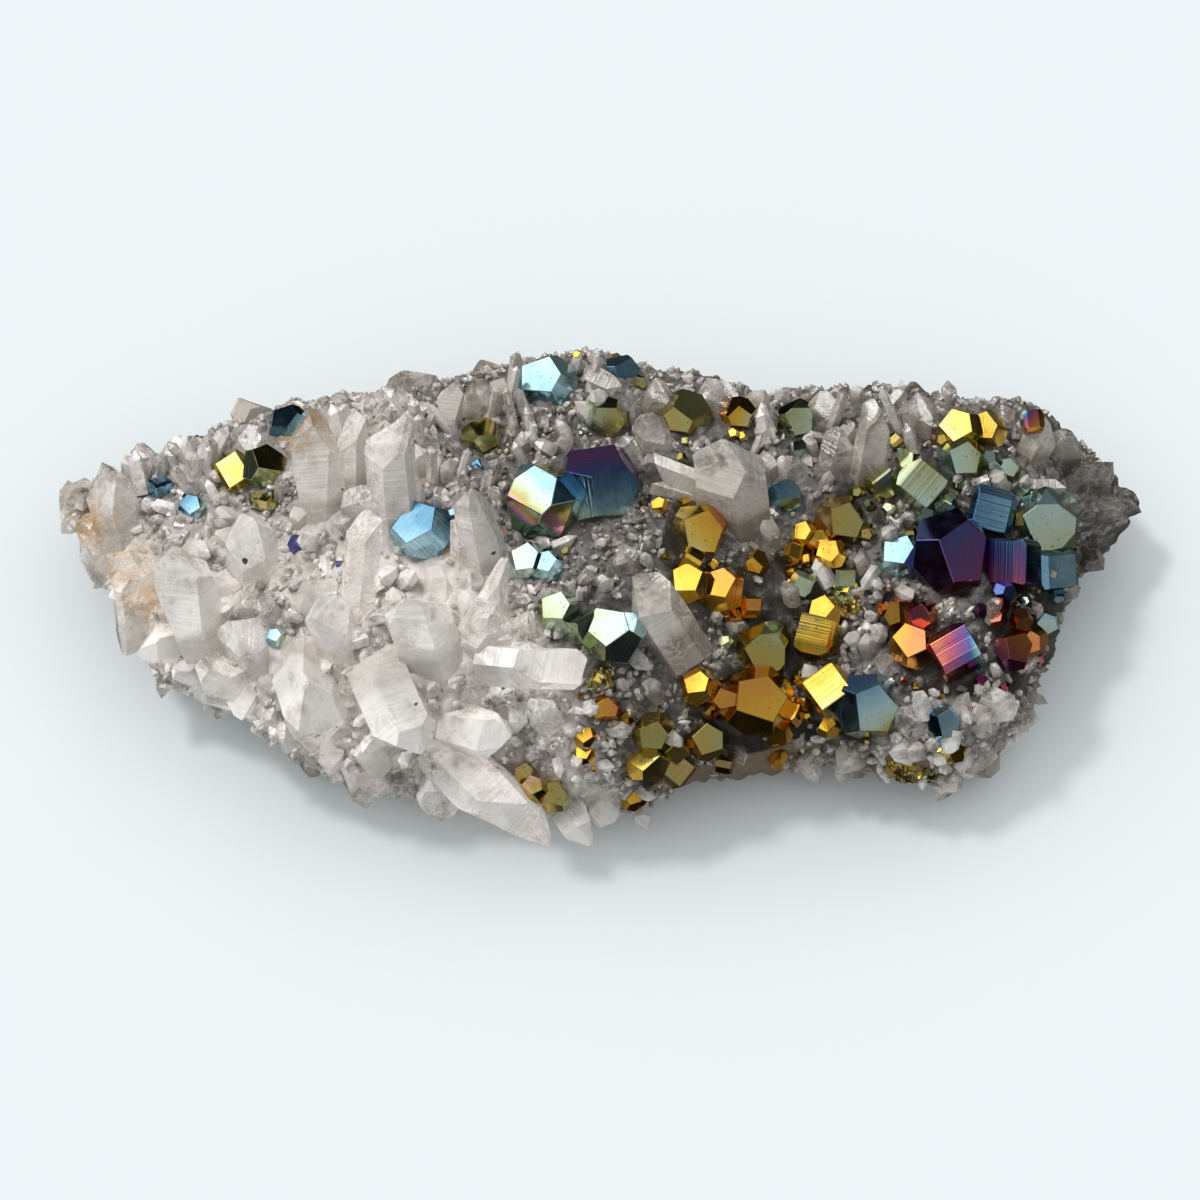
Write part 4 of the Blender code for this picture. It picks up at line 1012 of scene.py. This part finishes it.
def looking(right, up):
    """The way a face looks that is turned from the viewer so many degrees to the right and up."""
    looks = Matrix.Rotation(math.radians(right), 3, UPWARD) @ TO_VIEWER
    return Matrix.Rotation(math.radians(-up), 3, ACROSS) @ looks


def turned(pyrite):
    """The rotation that brings a crystal's main face to look where the pyrite says."""
    main = MAIN_FACE[pyrite.habit]
    looks = looking(pyrite.right, pyrite.up)
    edge = (UPWARD - looks * UPWARD.dot(looks)).normalized()
    target = Matrix((edge.cross(looks), edge, looks)).transposed()
    long_edge = Vector((0, 0, 1))
    own_edge = (long_edge - main * long_edge.dot(main)).normalized()
    own = Matrix((own_edge.cross(main), own_edge, main)).transposed()
    spin = Matrix.Rotation(math.radians(pyrite.spin), 3, looks)
    return spin @ target @ own.transposed()


FILM_WAYS = {("pyrite_rainbow_1", 0): math.radians(228), ("pyrite_rainbow_1", 1): math.radians(-80)}
STRIPED = {
    ("pyrite_striped_1", 1): 1.0, ("pyrite_violet_1", 2): 0.7, ("pyrite_violet_1", 4): 1.0,
    ("pyrite_red_1", 3): 0.6, ("pyrite_striped_2", 0): 0.6,
    ("pyrite_olive_9", 2): 0.9, ("pyrite_olive_9", 0): 0.4,
    ("pyrite_gold_6", 0): 0.12, ("pyrite_rainbow_1", 1): 0.25, ("pyrite_blue_2", 0): 0.3,
}
PLAIN_STRIPES = 0.08
LINES_ON_FACE = (Vector((0, 0, 1)), Vector((1, 0, 0)), Vector((0, 1, 0)))
FILM_SPREAD, LEAST_FILM_DRIFT, SAME_FACE = 0.6, 0.06, 0.99


def facing_order(face):
    return [round(part, 3) for part in face.normal]


def faceted(name, points, faces, values):
    """A mesh of flat faces that carries values at the corners of its faces."""
    mesh = bpy.data.meshes.new(name)
    mesh.from_pydata(points, [], faces)
    for label, numbers in values.items():
        carried = mesh.attributes.new(label, "FLOAT", "CORNER")
        carried.data.foreach_set("value", np.array(numbers, np.float32))
    return mesh


def pyrite_piece(name, crystals):
    """The crystals of one pyrite node, grown into each other, with the film on each face."""
    points, faces, films, lines, drifts, stripes = [], [], [], [], [], []
    for number, pyrite in enumerate(crystals):
        seed = f"{name} {number}"
        chance = random.Random(f"{seed} film")
        shape = pyrite_crystal(pyrite, seed)
        turn = turned(pyrite)
        centre = seat_of(matrix_surface, pyrite.pixel_x, pyrite.pixel_y)
        centre = centre + TO_VIEWER * (PROUD_SHARE * pyrite.width * PIXEL / 2)
        half = pyrite.width * PIXEL / 2
        way = FILM_WAYS.get((name, number), chance.uniform(0, math.tau))
        drift_way = ACROSS * math.cos(way) + UPWARD * math.sin(way)
        start = len(points)
        shape.verts.index_update()
        points.extend(centre + turn @ vertex.co for vertex in shape.verts)
        for rank, face in enumerate(sorted(shape.faces, key=facing_order)):
            faces.append([start + vertex.index for vertex in face.verts])
            facing = face.normal.dot(MAIN_FACE[pyrite.habit])
            drift = max(LEAST_FILM_DRIFT, pyrite.drift)
            offset = 0.0 if facing > SAME_FACE else chance.uniform(-FILM_SPREAD, FILM_SPREAD) * drift
            lead = max(range(3), key=lambda axis: abs(face.normal[axis]))
            across_lines = face.normal.cross(LINES_ON_FACE[lead]).normalized()
            for vertex in face.verts:
                films.append(pyrite.film + offset)
                drifts.append(pyrite.drift * drift_way.dot(turn @ vertex.co) / half)
                lines.append(across_lines.dot(vertex.co) + rank)
                stripes.append(STRIPED.get((name, number), PLAIN_STRIPES))
        shape.free()
    return faceted(name, points, faces, {"film": films, "line": lines, "drift": drifts, "stripes": stripes})


FILM_COLOURS = (
    (0.00, (0.92, 0.82, 0.45)), (0.08, (0.95, 0.66, 0.10)), (0.16, (0.90, 0.46, 0.07)),
    (0.25, (0.80, 0.28, 0.14)), (0.34, (0.55, 0.14, 0.20)), (0.43, (0.30, 0.12, 0.32)),
    (0.52, (0.12, 0.16, 0.45)), (0.61, (0.16, 0.36, 0.52)), (0.70, (0.42, 0.68, 0.80)),
    (0.77, (0.62, 0.84, 0.80)), (0.83, (0.62, 0.72, 0.50)), (0.90, (0.50, 0.50, 0.22)),
    (0.96, (0.60, 0.46, 0.12)), (1.05, (0.85, 0.45, 0.40)), (1.12, (0.72, 0.30, 0.62)),
    (1.22, (0.20, 0.30, 0.22)),
)
THICKEST_FILM = FILM_COLOURS[-1][0]
FILM_STEPS = [(thickness / THICKEST_FILM, colour) for thickness, colour in FILM_COLOURS]
THINNEST_RUN, RUN_HURRIES = -0.11, (0.09, 2.6)
PITS, PIT_BROWN, STRIAE = Spots(2600, 2, 0.66, 0.72), (0.10, 0.07, 0.04), 4200.0
pyrite_finish, shade = new_finish("tarnished_pyrite")
place = shade.node("TexCoord", output="Object")
film = shade.carried("film")
line = shade.carried("line")
patches = shade.speckle(place, 420, 5, 0.65)
stripes = shade.carried("stripes")
steps = shade.bands(line * STRIAE)
run = shade.maths("MAXIMUM", shade.carried("drift"), THINNEST_RUN)
thicker = shade.maths("MAXIMUM", run - RUN_HURRIES[0], 0.0) * RUN_HURRIES[1]
uneven = (patches - 0.5) * 0.14 + (steps - 0.5) * (stripes * 0.25 + 0.01)
thickness = film + run + thicker + uneven
colour = shade.node("ValToRGB", {"stops": FILM_STEPS}, {"Fac": thickness / THICKEST_FILM}, "Color")
pits = shade.spots(place, PITS)
colour = shade.mixed(pits * 0.6, colour, PIT_BROWN)
height = steps * stripes + patches * 0.05
relief = shade.node("Bump", {}, {"Strength": 1.0, "Distance": 0.00007, "Height": height})
surface = shade.node("BsdfPrincipled", {}, {
    "Base Color": colour, "Metallic": 1.0, "Roughness": patches.ranged(0.3, 0.7, 0.08, 0.20),
    "Normal": relief,
})
shade.node("OutputMaterial", {}, {"Surface": surface})
for name, rows in PYRITES.items():
    mesh = pyrite_piece(name, [Pyrite(*row) for row in rows])
    shown(name + "_crystals", mesh, pyrite_finish, (name,), name.split("_")[1])

# Small pyrite crystals
# Younger pyrites, from half a millimetre to three, that fill the gaps between the large ones and carry the
# same tarnish as their neighbours. Too many and too small to be pieces of their own, they are one mesh.
SMALL_PYRITES, SMALL_SEED = 7000, 21
SMALL_WIDTH, SMALL_SKEW, BARE_WIDTH = (0.0005, 0.0038), 2.4, (0.4, 0.6)
SMALL_CHANCE, SMALL_SPREAD, SMALL_LEAST_FACING = (0.12, 0.88), (75, 20), 0.55
SMALL_SEAT, SMALL_TOP = 0.2, 0.3
BLUE_FILMS, BLUE_TO_OLIVE, OLIVE_FILMS = (0.50, 0.80), 0.7, (0.10, 0.90, 0.95)
SMALL_FACING_LIGHT, TURN_SPREAD = 0.35, 5
BRIGHT_FACE = (-17, 25)
CRYSTAL_FILM_SPREAD, FACE_FILM_SPREAD = 0.035, 0.02
neighbours = [Pyrite(*row) for rows in PYRITES.values() for row in rows]


def film_nearby(pixel_x, pixel_y):
    """How far away the nearest large pyrite is, in pixels, and its tarnish."""
    return min((math.hypot(p.pixel_x - pixel_x, p.pixel_y - pixel_y), p.film) for p in neighbours)


def tumbled(chance):
    """A rotation by a random angle about a random axis."""
    angle = chance.uniform(0, math.tau)
    return Matrix.Rotation(angle, 3, Vector([chance.gauss(0, 1) for _ in range(3)]).normalized())


small_points, small_faces, small_films, small_lines = [], [], [], []
chance = random.Random(SMALL_SEED)
for foot, outward in spots_on_lump(SMALL_PYRITES, SMALL_SEED):
    away, film = film_nearby(*pixel_of(foot))
    bare = dark_rock_and_gap_shade(foot)
    wanted = (1 - milkiness(foot)) * (SMALL_CHANCE[0] + SMALL_CHANCE[1] * bare)
    wanted *= smooth_share(away, *SMALL_SPREAD)
    if foot.z < LOWEST_FOOT or outward.dot(TO_VIEWER) < SMALL_LEAST_FACING or chance.random() > wanted:
        continue
    if on_large_crystal(foot, foot):
        continue
    if BLUE_FILMS[0] < film < BLUE_FILMS[1] and chance.random() < BLUE_TO_OLIVE:
        film = chance.choice(OLIVE_FILMS)
    wider = (SMALL_WIDTH[1] - SMALL_WIDTH[0]) * (BARE_WIDTH[0] + BARE_WIDTH[1] * bare)
    width = SMALL_WIDTH[0] + wider * chance.random() ** SMALL_SKEW
    centre = foot + outward * width * SMALL_SEAT
    if hides_pyrite(foot, centre + outward * width * SMALL_TOP):
        continue
    habit = chance.choice(("sharp", "sharp", "cubic"))
    right, up = (chance.gauss(degrees, TURN_SPREAD) for degrees in BRIGHT_FACE)
    crystal = Pyrite(0, 0, width / PIXEL, right, up, chance.uniform(0, 360), habit, film, 0.0)
    shape = pyrite_crystal(crystal, chance.random(), worn=False)
    turn = turned(crystal)
    if chance.random() > SMALL_FACING_LIGHT:
        turn = tumbled(chance)
    start = len(small_points)
    shape.verts.index_update()
    small_points.extend(centre + turn @ vertex.co for vertex in shape.verts)
    own_film = film + chance.gauss(0, CRYSTAL_FILM_SPREAD)
    for face in sorted(shape.faces, key=facing_order):
        small_faces.append([start + vertex.index for vertex in face.verts])
        face_film = own_film + chance.uniform(-FACE_FILM_SPREAD, FACE_FILM_SPREAD)
        small_films.extend([face_film] * len(face.verts))
        small_lines.extend([vertex.co.x + vertex.co.z for vertex in face.verts])
    shape.free()
values = {"film": small_films, "line": small_lines}
mesh = faceted("small_pyrite_crystals", small_points, small_faces, values)
shown("pyrite_small_crystals", mesh, pyrite_finish, (), "grains")

# Crusts of pyrite grains
# Four patches of iron disulphide grains of about a millimetre and less, grown over the quartz as a thin
# sparkling crust. The grains of a patch hold together, so each patch is one piece.
Grains = namedtuple("Grains", "pixel_x pixel_y wide high slope number")
GRAIN_CRUSTS = {
    "pyrite_grains_1": Grains(268, 503, 38, 15, -10, 90),
    "pyrite_grains_2": Grains(600, 680, 34, 20, 40, 110),
    "pyrite_grains_3": Grains(846, 606, 36, 24, 0, 120),
    "pyrite_grains_4": Grains(910, 768, 62, 20, -8, 170),
}
GRAIN_SIZE, GRAIN_FILMS, THINNEST_AGAIN = (0.0004, 0.0011), (0.80, 1.10), 1.0
for name, grains in GRAIN_CRUSTS.items():
    chance = random.Random(name)
    crust = bmesh.new()
    film_layer = crust.faces.layers.float.new("film")
    slope = math.radians(grains.slope)
    for _ in range(grains.number):
        reach, around = math.sqrt(chance.random()), chance.uniform(0, math.tau)
        right = reach * math.cos(around) * grains.wide / 2
        high = reach * math.sin(around) * grains.high / 2
        pixel_x = grains.pixel_x + right * math.cos(slope) - high * math.sin(slope)
        pixel_y = grains.pixel_y - right * math.sin(slope) - high * math.cos(slope)
        size = chance.uniform(*GRAIN_SIZE)
        centre = seat_of(pyrite_surface, pixel_x, pixel_y)
        place = Matrix.Translation(centre) @ tumbled(chance).to_4x4()
        before = len(crust.faces)
        bmesh.ops.create_cube(crust, size=size, matrix=place)
        crust.faces.ensure_lookup_table()
        grain_film = chance.uniform(*GRAIN_FILMS) % THINNEST_AGAIN
        for face in crust.faces[before:]:
            face[film_layer] = grain_film
    shown(name + "_crystals", crust, pyrite_finish, (name,), "grains")

# Floor, light and camera
# A pale sheet under the specimen. A soft light behind the upper left lights the quartz, and a card in the
# same place shines in the pyrites. A second card shines in the quartz, and the sheet has lights of its own.
FLOOR_SIZE, FLOOR_COLOUR = 6.0, (0.80, 0.85, 0.865)
floor_finish, shade = new_finish("pale_floor")
surface = shade.node("BsdfDiffuse", {}, {"Color": FLOOR_COLOUR})
shade.node("OutputMaterial", {}, {"Surface": surface})
floor_shape = bmesh.new()
bmesh.ops.create_grid(floor_shape, x_segments=1, y_segments=1, size=FLOOR_SIZE / 2)
floor_mesh = bpy.data.meshes.new("floor")
floor_shape.to_mesh(floor_mesh)
floor_shape.free()
floor_mesh.materials.append(floor_finish)
floor = bpy.data.objects.new("floor", floor_mesh)
bpy.context.scene.collection.objects.link(floor)
floor.visible_glossy = False

SECOND_BRIGHT_FACE = (26, 34)
LIGHT_DISTANCE, KEY_SIZE, KEY_POWER = 1.6, 0.8, 19.0
CARD_SIZE, CARD_RADIANCE, GLINT_RADIANCE = 0.9, 1.5, 7.0
CARD_LIGHT = math.pi * CARD_SIZE**2
FLOOR_LIGHTS = (
    ("floor_key", Vector((-0.40, 0.16, 1.0)).normalized(), math.radians(10), 0.82),
    ("floor_fill", Vector((0, 0, 1)), math.radians(110), 1.19),
)
quartz_only = bpy.data.collections.new("lit_by_key")
pyrite_only = bpy.data.collections.new("lit_by_card")
floor_only = bpy.data.collections.new("lit_by_floor_lights")
floor_only.objects.link(floor)
for piece in bpy.data.objects:
    if piece.type == "MESH" and piece is not floor and not piece.hide_render:
        (pyrite_only if piece.name.startswith("pyrite") else quartz_only).objects.link(piece)


def lamp_for(light, direction, lit):
    """A lamp that shines from a direction on some of the pieces only."""
    lamp = bpy.data.objects.new(light.name, light)
    bpy.context.scene.collection.objects.link(lamp)
    lamp.rotation_euler = direction.to_track_quat("Z", "Y").to_euler()
    lamp.light_linking.receiver_collection = lit
    return lamp


def soft_light(name, face, size, power, lit, diffuse=True):
    """A square light where the viewer sees it in a face that looks so far to the right and up."""
    mirror = looking(*face)
    direction = (2 * mirror.dot(TO_VIEWER) * mirror - TO_VIEWER).normalized()
    light = bpy.data.lights.new(name, "AREA")
    light.shape = "SQUARE"
    light.size = size
    light.energy = power
    lamp = lamp_for(light, direction, lit)
    lamp.location = SIGHT_CENTRE + direction * LIGHT_DISTANCE
    lamp.visible_diffuse = diffuse


soft_light("key", BRIGHT_FACE, KEY_SIZE, KEY_POWER, quartz_only)
soft_light("card", BRIGHT_FACE, CARD_SIZE, CARD_RADIANCE * CARD_LIGHT, pyrite_only, diffuse=False)
soft_light("glint", SECOND_BRIGHT_FACE, CARD_SIZE, GLINT_RADIANCE * CARD_LIGHT, quartz_only, diffuse=False)
for name, direction, spread, strength in FLOOR_LIGHTS:
    light = bpy.data.lights.new(name, "SUN")
    light.angle = spread
    light.energy = strength
    lamp_for(light, direction, floor_only)

ROOM_GLOW = (0.46, 0.475, 0.48)
ROOM_PATCHES, BEHIND_VIEWER = (0.46, 0.66, 0.006, 0.20), (0.5, 0.97, 0.0, 0.36)
world = bpy.data.worlds.new("studio")
bpy.context.scene.world = world
world.use_nodes = True
world.node_tree.nodes.clear()
shade = Shade(world.node_tree)
is_glossy = shade.node("LightPath", output="Is Glossy Ray")
direction = shade.node("TexCoord", output="Generated")
along_sight = {0: direction, 1: tuple(TO_VIEWER)}
viewer_way = shade.node("VectorMath", {"operation": "DOT_PRODUCT"}, along_sight, "Value")
room = shade.speckle(direction, 2.2, 1).ranged(*ROOM_PATCHES) + viewer_way.ranged(*BEHIND_VIEWER)
room_colour = shade.node("CombineXYZ", {}, {0: room, 1: room, 2: room})
colour = shade.mixed(is_glossy, ROOM_GLOW, room_colour)
shade.node("OutputWorld", {}, {"Surface": shade.node("Background", {}, {"Color": colour, "Strength": 1.0})})

SENSOR = 36
CAMERA_DISTANCE = 2.5
FRAME_PIXELS = 1200
camera_data = bpy.data.cameras.new("camera")
camera_data.sensor_width = SENSOR
camera_data.lens = SENSOR * CAMERA_DISTANCE / (FRAME_PIXELS * PIXEL)
camera_data.clip_end = 10
camera = bpy.data.objects.new("camera", camera_data)
bpy.context.scene.collection.objects.link(camera)
camera.location = SIGHT_CENTRE + TO_VIEWER * CAMERA_DISTANCE
camera.rotation_euler = TO_VIEWER.to_track_quat("Z", "Y").to_euler()
bpy.context.scene.camera = camera
bpy.context.scene.view_settings.view_transform = "Standard"
